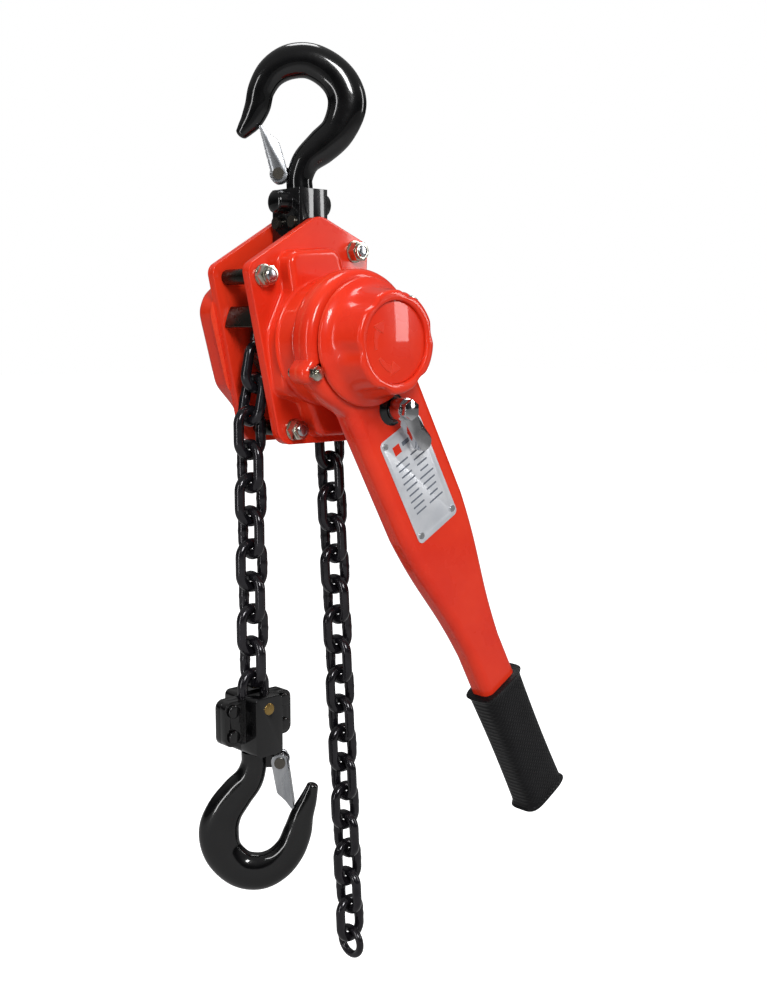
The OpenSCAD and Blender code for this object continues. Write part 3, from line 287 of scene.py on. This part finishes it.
def loft(rings, wrap=False, mirrored=False):
    # rings of equal length joined into a tube, closed by its end rings unless it wraps; the order is
    # turned round when the signed volume, a sixth of the sum of a . (b x c), comes out negative
    rings = np.asarray(rings, float)
    rows, cols = rings.shape[:2]
    verts = rings.reshape(-1, 3)
    quads = gridQuads(rows, cols, wrap)
    caps = [] if wrap else [np.arange(cols), (rows - 1) * cols + np.arange(cols)[::-1]]
    if mirrored:
        # each end is filled by quads that run straight across between mirror points of the ring
        i = np.arange(cols // 2 - 1)
        across = np.stack([i, i + 1, cols - 2 - i, cols - 1 - i], -1)
        quads = np.concatenate([quads, across, (across + (rows - 1) * cols)[:, ::-1]])
        caps = []
    centre = verts.mean(0)
    p = verts - centre
    tris = np.concatenate([quads[:, [0, 1, 2]], quads[:, [0, 2, 3]]]
                          + [np.stack([np.full(cols - 2, k[0]), k[1:-1], k[2:]], -1) for k in caps])
    volume = np.einsum("ij,ij->i", p[tris[:, 0]], np.cross(p[tris[:, 1]], p[tris[:, 2]])).sum()
    if volume < 0:
        quads = quads[:, ::-1]
        caps = [k[::-1] for k in caps]
    return verts, quads, caps


def makePiece(name, shells, material, replaced):
    # one object from several closed shells, riding where the CAD nodes that it replaces ride
    verts, loops, totals, offset = [], [], [], 0
    for points, quads, caps in shells:
        verts.append(points)
        loops.append((quads + offset).ravel())
        totals.append(np.full(len(quads), 4))
        for k in caps:
            loops.append(k + offset)
            totals.append(np.array([len(k)]))
        offset += len(points)
    verts, loops, totals = np.concatenate(verts), np.concatenate(loops), np.concatenate(totals)
    mesh = bpy.data.meshes.new(name)
    mesh.vertices.add(len(verts))
    mesh.vertices.foreach_set("co", verts.astype(np.float32).ravel())
    mesh.loops.add(len(loops))
    mesh.loops.foreach_set("vertex_index", loops.astype(np.int32))
    mesh.polygons.add(len(totals))
    mesh.polygons.foreach_set("loop_start", np.concatenate([[0], np.cumsum(totals)[:-1]]).astype(np.int32))
    mesh.polygons.foreach_set("loop_total", totals.astype(np.int32))
    mesh.update(calc_edges=True)
    mesh.validate()
    mesh.shade_smooth()
    mesh.set_sharp_from_angle(angle=math.radians(38))
    mesh.materials.append(material)
    made = bpy.data.objects.new(name, mesh)
    bpy.context.scene.collection.objects.link(made)
    if replaced:
        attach(made, bodyOf[replaced[0]])
        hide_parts(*replaced)
    return made


def addTrim(name, shells, material, body):
    # a small visible piece that no CAD node stands for, riding on a body
    made = makePiece(name, shells, material, [])
    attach(made, body)


def softened(name, width):
    # a merged copy of a CAD node with its edges rounded to width mm
    mesh = nodes[name].data.copy()
    work = bmesh.new()
    work.from_mesh(mesh)
    bmesh.ops.remove_doubles(work, verts=work.verts, dist=2e-6)
    bmesh.ops.dissolve_limit(work, angle_limit=math.radians(1.0), verts=work.verts, edges=work.edges)
    work.to_mesh(mesh)
    work.free()
    made = bpy.data.objects.new(name + "Soft", mesh)
    bpy.context.scene.collection.objects.link(made)
    edge = made.modifiers.new("edge", "BEVEL")
    edge.width = width * mm
    edge.segments = 3
    edge.limit_method = "ANGLE"
    edge.angle_limit = math.radians(32)
    edge.use_clamp_overlap = True
    bpy.context.view_layer.update()
    done = bpy.data.meshes.new_from_object(made.evaluated_get(bpy.context.evaluated_depsgraph_get()))
    made.modifiers.clear()
    made.data = done
    done.materials.clear()
    done.materials.append(slotMaterials[slotOf[name]])
    done.shade_smooth()
    done.set_sharp_from_angle(angle=math.radians(34))
    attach(made, bodyOf[name])
    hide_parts(name)


def arcCorners(corners, inset=0.0, count=8):
    # outline of a rounded polygon: each corner (across, up, radius) moves along its bisector by inset over the
    # sine of half its angle and becomes an arc tangent to both sides
    c = np.asarray(corners, float)
    here = c[:, :2]
    u = np.roll(here, 1, 0) - here
    v = np.roll(here, -1, 0) - here
    u /= np.linalg.norm(u, axis=1)[:, None]
    v /= np.linalg.norm(v, axis=1)[:, None]
    side = np.sign(u[:, 0] * v[:, 1] - u[:, 1] * v[:, 0])
    area = np.sum(here[:, 0] * np.roll(here[:, 1], -1) - here[:, 1] * np.roll(here[:, 0], -1))
    convex = -side * np.sign(area)
    half = np.arccos(np.clip(np.sum(u * v, 1), -1, 1)) / 2
    bis = (u + v) / np.linalg.norm(u + v, axis=1)[:, None]
    moved = here + bis * (convex * inset / np.sin(half))[:, None]
    radius = np.maximum(c[:, 2] - convex * inset, 0.05)
    mid = moved + bis * (radius / np.sin(half))[:, None]
    start = moved + u * (radius / np.tan(half))[:, None] - mid
    end = moved + v * (radius / np.tan(half))[:, None] - mid
    a0 = np.arctan2(start[:, 1], start[:, 0])
    turn = np.arctan2(start[:, 0] * end[:, 1] - start[:, 1] * end[:, 0], np.sum(start * end, 1))
    a = a0[:, None] + turn[:, None] * np.linspace(0, 1, count)[None, :]
    arc = mid[:, None] + radius[:, None, None] * np.stack([np.cos(a), np.sin(a)], -1)
    return arc.reshape(-1, 2)


def insetLine(line, inset):
    # a dense closed line moved inwards along its normals
    step = np.roll(line, -1, 0) - np.roll(line, 1, 0)
    step /= np.linalg.norm(step, axis=1)[:, None]
    area = np.sum(line[:, 0] * np.roll(line[:, 1], -1) - line[:, 1] * np.roll(line[:, 0], -1))
    return line + np.sign(area) * np.stack([-step[:, 1], step[:, 0]], -1) * inset


def edgeSteps(low, high, lowRound, highRound, count=7):
    # (inset, height) pairs of a wall from low to high with a quarter circle at each end, and a short flat lip
    a = np.linspace(0, np.pi / 2, count)
    s = 1 if high > low else -1
    first = np.stack([lowRound * (1 - np.sin(a)), low + s * lowRound * (1 - np.cos(a))], -1)
    last = np.stack([highRound * (1 - np.cos(a)), high - s * highRound * (1 - np.sin(a))], -1)
    return np.concatenate([[[lowRound + 0.5, low]], first, last, [[highRound + 0.5, high]]])


def pressed(outline, steps, place, mirrored=False):
    # a plate-like shell: outline(inset) gives each ring, steps the inset and height of each, place puts
    # (across, up, height) arrays into the row frame in mm
    rings = []
    for inset, height in steps:
        line = outline(inset)
        rings.append(place(line[:, 0], line[:, 1], np.full(len(line), height)))
    return loft(np.array(rings) * mm, mirrored=mirrored)


def turnedShell(profile, place, around=96, wave=None):
    # a turned shell from (radius, along) pairs; wave(angle, radius, along) may change the radius
    a = np.linspace(0, 2 * np.pi, around, endpoint=False)[None, :]
    r = np.asarray(profile, float)[:, :1] * np.ones_like(a)
    h = np.asarray(profile, float)[:, 1:2] * np.ones_like(a)
    if wave:
        r = wave(a, r, h)
    return loft(place(r * np.cos(a), r * np.sin(a), h) * mm)


def catmull(points, steps):
    # smooth curve through the points: the Catmull-Rom cubic between each pair
    p = np.asarray(points, float)
    p = np.concatenate([2 * p[:1] - p[1:2], p, 2 * p[-1:] - p[-2:-1]])
    t = np.linspace(0, 1, steps, endpoint=False)[None, :, None]
    a, b, c, d = (p[i:len(p) - 3 + i, None] for i in range(4))
    curve = 0.5 * (2 * b + (c - a) * t + (2 * a - 5 * b + 4 * c - d) * t ** 2 + (3 * b - a - 3 * c + d) * t ** 3)
    return np.concatenate([curve.reshape(-1, p.shape[1]), p[-2:-1]])


# places, in mm in the row frame
driveAt = np.array(joints["drive_spin"]["pos_m"]) / mm
selectorAt = np.array(joints["selector_turn"]["pos_m"]) / mm
leverWay = (selectorAt - driveAt) / np.linalg.norm(selectorAt - driveAt)
leverSide = np.array([-leverWay[2], 0, leverWay[0]])


def onDrive(across, up, depth):
    # drive frame: across to the right, up, depth towards the lever side
    return np.stack([across + driveAt[0], -depth, up + driveAt[2]], -1)


def onLever(across, along, depth):
    # lever frame: across the lever, along it from the drive axis, depth towards the wheel
    flat = across[..., None] * leverSide + along[..., None] * leverWay
    return flat + driveAt + np.stack([0 * depth, -depth, 0 * depth], -1)


chain = {"pitch": 24.0, "wire": 3.8, "halfStraight": 6.35, "bend": 9.7, "halfWide": 13.5, "halfLong": 19.95,
         "stations": 64, "around": 18, "weld": 0.07, "lead": 12, "tailCount": 20}


def linkShell(centre, long, across):
    # a wire loop: straight sides joined by half circles, the radius swelling by a bell curve at the weld
    n, r, s = chain["stations"], chain["bend"], chain["halfStraight"]
    whole = 4 * s + 2 * np.pi * r
    d = np.arange(n) / n * whole
    a1, a2 = (d - 2 * s) / r, (d - 4 * s - np.pi * r) / r
    half = 2 * s + np.pi * r
    stretches = [d < 2 * s, (d >= 2 * s) & (d < half), (d >= half) & (d < half + 2 * s)]
    x = np.select(stretches, [r + 0 * d, r * np.cos(a1), -r + 0 * d], -r * np.cos(a2))
    y = np.select(stretches, [-s + d, s + r * np.sin(a1), s - (d - half)], -s - r * np.sin(a2))
    out = np.select(stretches, [0 * d, a1, np.pi + 0 * d], np.pi + a2)
    swell = 1 + chain["weld"] * np.exp(-((d - s) / 1.6) ** 2)
    v = np.linspace(0, 2 * np.pi, chain["around"], endpoint=False)[None, :]
    w = (chain["wire"] * swell)[:, None]
    px = x[:, None] + w * np.cos(v) * np.cos(out)[:, None]
    py = y[:, None] + w * np.cos(v) * np.sin(out)[:, None]
    pz = w * np.sin(v) * np.ones_like(px)
    face = np.cross(across, long)
    rings = centre + px[..., None] * across + py[..., None] * long + pz[..., None] * face
    return loft(rings * mm, wrap=True)


sideways, towards, upWay = np.eye(3)


def boxOf(name):
    low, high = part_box(name)
    return np.array(low) / mm, np.array(high) / mm


low, high = boxOf("load_chain")
pitch, halfLong = chain["pitch"], chain["halfLong"]
count = round((high[2] - low[2] - 2 * halfLong) / pitch) + 1
middleX = (low[0] + high[0]) / 2
makePiece("loadChainLinks", [
    linkShell(np.array([middleX, 0, high[2] - halfLong - pitch * i]), upWay, sideways if i % 2 == 0 else towards)
    for i in range(count)], chainBlack, ["load_chain"])

slant = math.radians(chain["lead"])
leadLong = np.array([math.sin(slant), 0, math.cos(slant)])
leadSide = np.array([math.cos(slant), 0, -math.sin(slant)])
for name, across in (("upper_lead_link", leadSide), ("lower_lead_link", towards)):
    low, high = boxOf(name)
    makePiece(name + "Wire", [linkShell((low + high) / 2, leadLong, across)], chainBlack, [name])

# the links in the sheave lie flat and upright by turns, an eighth of a turn apart
sheave = {"rise": 45, "flatR": 27.3137, "uprightR": 30.6274, "links": 4}
wheelLinks = []
for i in range(sheave["links"]):
    turn = math.pi - slant - math.radians(sheave["rise"]) * i
    outward = np.array([math.cos(turn), 0, math.sin(turn)])
    tangent = np.array([-math.sin(turn), 0, math.cos(turn)])
    flat = i % 2 == 0
    wheelLinks.append(linkShell(driveAt + outward * sheave["flatR" if flat else "uprightR"], tangent,
                                towards if flat else outward))
makePiece("sheaveLinksWire", wheelLinks, chainBlack, ["sheave_links"])

tailWay = np.array(joints["tail_run"]["axis"])
tailWay = tailWay / np.linalg.norm(tailWay)
tailSide = np.array([-tailWay[2], 0, tailWay[0]])
low, high = boxOf("tail_chain")
tailCount = chain["tailCount"]
lastX = high[0] - chain["halfWide"] * tailSide[0] - chain["halfStraight"] * tailWay[0]
tailFirst = np.array([lastX - tailWay[0] * pitch * (tailCount - 1), 0,
                      high[2] - chain["halfStraight"] * abs(tailWay[2]) - chain["halfWide"]])
makePiece("tailChainLinks", [
    linkShell(tailFirst + tailWay * pitch * i, -tailWay, towards if i % 2 == 0 else tailSide)
    for i in range(tailCount)], chainBlack, ["tail_chain"])
print("chain made:", count, "+", tailCount)


hookTurn = math.radians(-43)
hookAcross = np.array([math.cos(hookTurn), math.sin(hookTurn), 0])
hookFace = np.array([-math.sin(hookTurn), math.cos(hookTurn), 0])

topHook = {
    "stations": [
        (0, -56.6, 9.5, 9.5), (0.2, -48, 9.4, 9.4), (5.2, -36.5, 10.2, 9.5), (16.6, -26.5, 12.2, 9.5),
        (27.8, -15.6, 12.6, 9.5), (34.4, 1, 13.9, 9.5), (31.7, 14.6, 13.4, 9.4), (22.3, 25.6, 12.8, 9.2),
        (8.2, 32.6, 12.3, 9), (-6.5, 32, 12, 8.7), (-19, 25, 10.7, 8.2), (-26.6, 13.5, 9.6, 7.5),
        (-29.6, 1.6, 9.2, 6.8), (-34, -8, 7.9, 5.8), (-38.6, -14.2, 6, 4.8), (-41.2, -17.4, 4.7, 4)],
    "neck": [(7, -70.9), (9.8, -70.9), (9.8, -63.1), (7, -63), (7, -56)],
    "pivot": (-14.7, -46.5),
}
bottomHook = {
    "stations": [
        (0, 60, 9.5, 9.5), (-0.4, 50, 9.6, 9.5), (-4.6, 38, 11, 9.5), (-13.5, 27, 12.4, 9.5),
        (-23, 13, 13.6, 9.5), (-27.2, -2, 15, 9.5), (-24.3, -18.2, 14.6, 9.4), (-12.4, -30.6, 14.4, 9.2),
        (2, -33.2, 14.1, 9), (15.3, -27.8, 12.6, 8.7), (25.6, -16.4, 11.3, 8.2), (31.4, -2.5, 10.6, 7.5),
        (34.8, 10.3, 8.8, 6.8), (39.2, 21.5, 6.8, 5.6), (42, 30, 5, 4.2), (42.8, 33, 4.4, 3.8)],
    "neck": [(7, 74), (9.8, 74), (9.8, 66), (7, 66), (7, 59)],
    "pivot": (19.5, 53),
}


def squared(angle, power):
    # cosine and sine with their size raised to a power under one, which squares a circle off
    return [np.sign(w) * np.abs(w) ** power for w in (np.cos(angle), np.sin(angle))]


def hookShell(stations, centre, around=40):
    # forged bar: rounded-square sections, |c|^p and |s|^p with p 0.9, carried along a smooth curve
    curve = catmull(stations, 10)
    way = np.gradient(curve[:, :2], axis=0)
    way /= np.linalg.norm(way, axis=1)[:, None]
    v = np.linspace(0, 2 * np.pi, around, endpoint=False)[None, :]
    c, s = squared(v, 0.9)
    k = len(curve)
    closing = np.linspace(0.3, 1.45, 6)
    tip = np.concatenate([np.ones(k), np.cos(closing)])
    curve = np.concatenate([curve, np.repeat(curve[-1:], 6, 0)])
    way = np.concatenate([way, np.repeat(way[-1:], 6, 0)])
    push = np.concatenate([np.zeros(k), np.sin(closing) * curve[-1, 2]])
    curve[:, :2] += way * push[:, None] * 0.6
    across = curve[:, 0:1] + way[:, 1:2] * (curve[:, 2] * tip)[:, None] * c
    up = curve[:, 1:2] - way[:, 0:1] * (curve[:, 2] * tip)[:, None] * c
    depth = (curve[:, 3] * tip)[:, None] * s
    return loft(onHook(centre)(across, up, depth) * mm)


def onHook(centre):
    def place(across, up, depth):
        return centre + across[..., None] * hookAcross + up[..., None] * upWay + depth[..., None] * hookFace
    return place


def lugAt(across, up, centre):
    # turned about the latch rivet of a hook
    def place(x, z, h):
        return onHook(centre)(across + x, up + z, h)
    return place


def standing(centre):
    # turned about the vertical through centre
    def place(x, y, h):
        return centre + np.stack([x, y, h], -1)
    return place


bottomSwivel = np.array(joints["bottom_hook_swivel"]["pos_m"]) / mm
bottomCentre = bottomSwivel + np.array([0, 0, -61.0])
for name, hook, centre in (("top_hook", topHook, np.zeros(3)), ("bottom_hook", bottomHook, bottomCentre)):
    px, pz = hook["pivot"]
    far = px + np.sign(px) * 4.8
    lug = [(0, pz + 4.6, 0.6), (far, pz + 4.6, 4.4), (far, pz - 4.6, 4.4), (0, pz - 4.6, 0.6)]
    shells = [
        hookShell(hook["stations"], centre),
        turnedShell(hook["neck"], standing(centre), 48),
        pressed(lambda d, lug=lug: arcCorners(lug, d), edgeSteps(-3.6, 3.6, 0.4, 0.4, 4), onHook(centre)),
        turnedShell([(4.4, -4.9), (5, -4.5), (5, 4.5), (4.4, 4.9)], lugAt(px, pz, centre), 40),
    ]
    makePiece(name + "Forging", shells, blackForged, [name])
print("hooks made")


plateCorners = [(5, 90, 15), (51, 71, 8), (47, -72.5, 10), (-32, -72.5, 12), (-59, 52, 8)]
stays = [(-46, 45.4), (37.5, 65), (36, -60), (-20, -61.8)]
brakeCover = {
    "shoulder": [(-34, 62, 9), (13, 66, 9), (17, 50, 7), (45, 44, 12), (46, -30, 12), (26, -42, 7), (25, -67, 9),
                 (-6, -67, 10), (-17, -42, 7), (-38, -36, 9), (-43.5, 4, 26), (-29, 34, 9)],
    "drum": [(39, 55), (26.6, 55), (26.1, 55.4), (26, 56), (26, 61.4), (25.4, 62), (20, 62), (20, 60)],
}


def bend(across, height, inward, rise):
    # quarter circle of a pressed edge: it starts inward away from across, level with height, and ends at across
    a = np.linspace(0, np.pi / 2, 7)
    return np.stack([across + inward * (1 - np.sin(a)), height + rise * (1 - np.cos(a))], -1)


def crown(across, height, inward, rise):
    # quarter circle of a rounded rim: it starts at across, rise short of height, and ends inward of it
    a = np.linspace(0, np.pi / 2, 7)
    return np.stack([across + inward * (1 - np.cos(a)), height - rise * (1 - np.sin(a))], -1)


shoulderSteps = np.concatenate([bend(0, 24.2, -2.4, 2.4), crown(0, 38, 4.5, 4.5), [[5.2, 38]]])
drumProfile = np.concatenate([
    bend(44, 37.8, 2.4, 2.4), crown(44, 55, -4, 4),
    brakeCover["drum"]])
makePiece("brakeCoverPressed", [
    pressed(lambda d: arcCorners(plateCorners, d, 12), edgeSteps(22, 24.5, 0.2, 0.9, 5), onDrive),
    pressed(lambda d: arcCorners(brakeCover["shoulder"], d, 10), shoulderSteps, onDrive),
    turnedShell(drumProfile, onDrive, 128)], redEnamel, ["brake_cover"])


def rayOutline(inside, reach, rays=720, blur=5):
    # outline of a shape seen from its middle: the farthest inside point on each ray, smoothed round the turn
    a = np.linspace(0, 2 * np.pi, rays, endpoint=False)
    r = np.arange(5, reach, 0.1)
    x, z = r[None, :] * np.cos(a)[:, None], r[None, :] * np.sin(a)[:, None]
    out = ~inside(x, z)
    radius = r[np.where(out.any(1), out.argmax(1), len(r) - 1)]
    k = np.exp(-0.5 * (np.arange(-3 * blur, 3 * blur + 1) / blur) ** 2)
    k /= k.sum()
    wide = np.concatenate([radius[-3 * blur:], radius, radius[:3 * blur]])
    radius = np.convolve(wide, k, "valid")
    return np.stack([radius * np.cos(a), radius * np.sin(a)], -1)


def insideCorners(line, x, z):
    # even-odd test against a closed line
    ax, az = line[:, 0], line[:, 1]
    bx, bz = np.roll(ax, -1), np.roll(az, -1)
    hit = np.zeros(x.shape, bool)
    for i in range(len(line)):
        cross = (az[i] > z) != (bz[i] > z)
        hit ^= cross & (x < (bx[i] - ax[i]) * (z - az[i]) / (bz[i] - az[i] + 1e-12) + ax[i])
    return hit


gearBody = [(-10, 66, 14), (44, 46, 14), (41, -50, 14), (-22, -52, 10), (-41, -32, 12), (-55, 22, 12), (-50, 34, 8)]
upperAt = np.array(joints["upper_idler_spin"]["pos_m"]) / mm - driveAt
lowerAt = np.array(joints["lower_idler_spin"]["pos_m"]) / mm - driveAt


# polished ends of the cover bolts, domed by a tenth of their width
boltEnd = [(4.2, 33.9), (4.2, 34.4), (3.9, 34.75), (3.2, 35.0), (1.8, 35.15), (0.3, 35.2)]


def atStay(p):
    def place(x, y, h):
        return onDrive(x + p[0], y + p[1], h)
    return place


addTrim("boltEndsPolished", [turnedShell(boltEnd, atStay(p), 32) for p in stays], brightSteel,
        "frame_body")


def insideGear(x, z, notch=6.8):
    hit = insideCorners(arcCorners(gearBody, 0, 8), x, z)
    for p in (upperAt, lowerAt):
        hit |= (x - p[0]) ** 2 + (z - p[2]) ** 2 < 32.5 ** 2
    for p in stays:
        hit &= (x - p[0]) ** 2 + (z - p[1]) ** 2 > notch ** 2
    return hit


gearLine = rayOutline(insideGear, 75, 720, 6)
gearSteps = np.concatenate([bend(0, -24.2, -1.8, -1.8), crown(0, -44, 5.5, -5.5), [[6.2, -44]]])
makePiece("gearCoverPressed", [
    pressed(lambda d: arcCorners(plateCorners, d, 12), edgeSteps(-22, -24.5, 0.2, 0.9, 5), onDrive),
    pressed(lambda d: insetLine(gearLine, d), gearSteps, onDrive)], redEnamel, ["gear_cover"])
for name in ("brake_side_plate", "gear_side_plate"):
    softened(name, 0.7)
print("covers made")


lever = {"head": 50.0, "lobe": 8.0, "lobeAt": 49.6, "lobeUp": 4.0, "blade": 35.0, "neck": 18.0, "end": 396.0,
         "taper": (146, 268), "edge": 7.0, "backEdge": 5.0, "split": 68.0, "seam": 0.15, "front": 78.0, "back": 58.0}


def smoothMax(p, q, k):
    # the larger of two values, blended over k
    h = np.clip(0.5 + 0.5 * (p - q) / k, 0, 1)
    return q + (p - q) * h + k * h * (1 - h)


def leverLine():
    # half width at each place along: head circle, bolt lobes and blade in one smooth maximum, mirrored
    top = -lever["head"] * np.cos(np.linspace(0, np.pi / 2, 60))
    along = np.concatenate([top, np.linspace(0.5, 45, 70), np.linspace(46, 150, 40), np.linspace(152, 270, 60),
                            np.linspace(275, lever["end"], 20)])
    circle = np.sqrt(np.clip(lever["head"] ** 2 - along ** 2, 0, None))
    past = along + lever["lobeUp"]
    lobe = lever["lobeAt"] + np.sqrt(np.clip(lever["lobe"] ** 2 - past ** 2, 0, None))
    lobe = np.where(np.abs(past) < lever["lobe"], lobe, 0)
    begin, end = lever["taper"]
    slope = np.clip((along - begin) / (end - begin), 0, 1)
    ease = slope - 0.06 * np.sin(2 * np.pi * slope)
    blade = lever["blade"] + (lever["neck"] - lever["blade"]) * np.clip(ease, 0, 1)
    blade = np.where(along > 0, blade, 0)
    width = smoothMax(circle, lobe, 2.0)
    width = smoothMax(width, blade, 6.0)
    width = np.where(along < -lever["lobe"] - 6, circle, width)
    right = np.stack([width, along], -1)
    left = np.stack([-width, along], -1)[::-1]
    return np.concatenate([right[1:], left[:-1]])


leverOutline = leverLine()


def shellSteps(face, edge, out, rings):
    # (inset, height) pairs of a half shell from just off the split to its face; out is 1 for the front half and -1
    # for the back one, and the rings on the face keep its quads small
    seam = lever["split"] + out * lever["seam"]
    return np.concatenate([[[0.5, seam], [0, seam], [0, lever["split"] + 2 * out]],
                           crown(0, face, edge, out * edge), [[edge + ring, face] for ring in rings]])


frontSteps = shellSteps(lever["front"], lever["edge"], 1, (0.6, 2, 5))
backSteps = shellSteps(lever["back"], lever["backEdge"], -1, (0.6, 3, 6))
boss = [(12.5, 77.9), (10.6, 78.3), (9.2, 79.2), (8.6, 80.4), (8.0, 81), (5.2, 81), (5.2, 80)]


def onSelector(x, y, h):
    return onLever(x, y + np.linalg.norm(selectorAt - driveAt), h)


makePiece("leverFrontPressed", [pressed(lambda d: insetLine(leverOutline, d), frontSteps, onLever, True)], redEnamel,
          ["lever_front_shell"])
addTrim("selectorBossRing", [turnedShell(boss, onSelector, 48)], blackForged, "lever_body")
makePiece("leverBackPressed", [pressed(lambda d: insetLine(leverOutline, d), backSteps, onLever, True)], redEnamel,
          ["lever_back_shell"])

# CAD nodes that keep their shape and get rounded edges, with the rounding in mm
rounded = {
    "lever_bolts": 0.4, "stay_nuts": 0.5, "selector_nut": 0.6, "selector_knob": 1.4, "top_yoke_left": 2.2,
    "top_yoke_right": 2.2, "block_front": 1.6, "block_back": 1.6, "chain_guide": 0.6, "load_pin": 0.6,
    "stay_bolts": 0.8, "block_bolts": 1.0, "name_plate": 0.2, "top_latch": 0.3, "bottom_latch": 0.3,
}
for name, width in rounded.items():
    softened(name, width)
print("lever made")


# domed ends of the yoke's cross bosses: a quarter ellipse from 7.6 mm out to 3 mm proud
yokeDome = {"radius": 7.6, "proud": 3.0, "face": 22.4, "up": -67}
quarter = np.linspace(0, np.pi / 2, 10)
domeCurve = np.stack([yokeDome["radius"] * np.cos(quarter), yokeDome["proud"] * np.sin(quarter)], -1)
domeProfile = np.concatenate([[[yokeDome["radius"], -0.6]], domeCurve[:-1], [[0.3, yokeDome["proud"]]]])


def onBoss(side):
    def place(y, z, h):
        return np.stack([side * (yokeDome["face"] + h * 0.95), y, z + yokeDome["up"]], -1)
    return place


for side, half in ((-1, "Left"), (1, "Right")):
    addTrim("yokeDome" + half, [turnedShell(domeProfile, onBoss(side), 48)], blackForged, "yoke_body")
print("yoke domes made")


grip = {"start": 306.0, "length": 120.0, "halfWidth": 22.0, "halfDepth": 14.0, "middle": 68.0}


def gripShell():
    # rounded rectangle sections |cos|^0.5 by |sin|^0.5 along the lever; a lip at each end and a faint waist
    u = np.concatenate([[0, 0.004, 0.012, 0.022], np.linspace(0.03, 0.955, 60), [0.968, 0.98, 0.992, 1.0]])
    lip = 2.2 * np.exp(-(u / 0.022) ** 2) + 2.4 * np.exp(-((u - 1.0) / 0.026) ** 2)
    lip[[0, -1]] = 1.2
    v = np.linspace(0, 2 * np.pi, 72, endpoint=False)[None, :]
    c, s = squared(v, 0.5)
    half = (grip["halfWidth"] - 1.0 * np.sin(np.pi * u) + lip)[:, None]
    deep = (grip["halfDepth"] - 0.4 * np.sin(np.pi * u) + 0.6 * lip)[:, None]
    along = (grip["start"] + grip["length"] * u)[:, None] * np.ones_like(v)
    return loft(onLever(half * c, along, grip["middle"] + deep * s) * mm)


makePiece("gripMoulded", [gripShell()], gripRubber, ["grip"])
print("grip made")


wheel = {
    "grips": 6, "bite": 2.2, "gripStart": 90, "rim": (34.9, 111, 3.4),
    "skirt": [(14, 80), (30, 80), (34, 79.8), (43.4, 79.6), (44, 80.2), (44, 82.6), (43.4, 83.4), (41.6, 84.6),
              (39.6, 86.4), (38.2, 88.4), (37.4, 91), (36.6, 95), (35.9, 100), (35.2, 105)],
    "recess": [(29.2, 111), (28.4, 110.8), (27.9, 110.2), (27.7, 109.2), (27.7, 105.6), (14, 105.6)],
}


def wheelWave(angle, radius, along):
    # shallow finger recesses round the drum of the wheel, fading out at the skirt and at the rim
    lobes = np.clip(np.cos(wheel["grips"] * (angle - 0.2)), 0, 1) ** 2
    zone = np.clip((along - wheel["gripStart"]) / 5, 0, 1) * np.clip((112 - along) / 2, 0, 1) * (radius > 30)
    return radius - wheel["bite"] * lobes * zone


rimR, rimTop, rimRound = wheel["rim"]
wheelProfile = np.concatenate([wheel["skirt"], crown(rimR, rimTop, -rimRound, rimRound), wheel["recess"]])
makePiece("handwheelCast", [turnedShell(wheelProfile, onDrive, 192, wheelWave)], redEnamel, ["handwheel"])
softened("handwheel_cap", 0.5)


arrow = {"radius": 18, "half": (1.0, 2.6), "head": [(12.6, 0), (23.4, 0), (18, 9)],
         "steps": [(0.1, 108.0), (0, 108.1), (0, 108.55), (0.2, 108.8), (0.5, 108.8)]}


def capArrow(start, sweep):
    # a raised curved arrow: an arc that widens to a three-cornered head at its end
    t = np.radians(start + sweep * np.linspace(0, 1, 24))
    ray = np.stack([np.cos(t), np.sin(t)], -1)
    wide = np.linspace(*arrow["half"], 24)[:, None]
    line = np.concatenate([(arrow["radius"] + wide) * ray, ((arrow["radius"] - wide) * ray)[::-1]])
    shaft = pressed(lambda d: insetLine(line, d), arrow["steps"], onDrive, True)
    e, s = math.radians(start + sweep), math.copysign(1, sweep)
    point = [(r * math.cos(e + s * b / 18), r * math.sin(e + s * b / 18), 0.5) for r, b in arrow["head"]]
    return [shaft, pressed(lambda d: arcCorners(point, d, 4), arrow["steps"], onDrive)]


addTrim("capArrows", capArrow(195, -42) + capArrow(215, 42), redEnamel, bodyOf["handwheel_cap"])
print("handwheel made")


label = {"start": 69, "rows": 9, "rowPitch": 5.2, "rowStart": 22,
         "steps": [(0.01, 78.55), (0, 78.56), (0, 78.66), (0.05, 78.66)]}


def bar(across, along, width, height):
    # a thin printed rectangle on the label
    x, y = width / 2, height / 2
    corners = [(across + i * x, label["start"] + along + j * y, 0.3) for i, j in ((-1, -1), (1, -1), (1, 1), (-1, 1))]
    return pressed(lambda d: arcCorners(corners, d, 3), label["steps"], onLever)


inkBars = [bar(x, label["rowStart"] + label["rowPitch"] * i, width, 1.3) for i in range(label["rows"])
           for x, width in ((-10, 13 - i % 3), (7, 15 - 2 * (i % 4)))]
addTrim("labelPrint", inkBars + [bar(5, 11, 18, 3.2)], labelInk, "lever_body")
addTrim("labelMark", [bar(-10, 12, 7, 7)], redEnamel, "lever_body")
print("label printed")


low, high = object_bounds()
floorMesh = bpy.data.meshes.new("floor")
half, level = view["floorHalf"], low[2] - view["floorGap"]
corners = [(i * half, j * half, level) for i, j in ((-1, -1), (1, -1), (1, 1), (-1, 1))]
floorMesh.from_pydata(corners, [], [(0, 1, 2, 3)])
floorMesh.materials.append(floorPaint)
floor = bpy.data.objects.new("floor", floorMesh)
bpy.context.scene.collection.objects.link(floor)
print("floor laid")
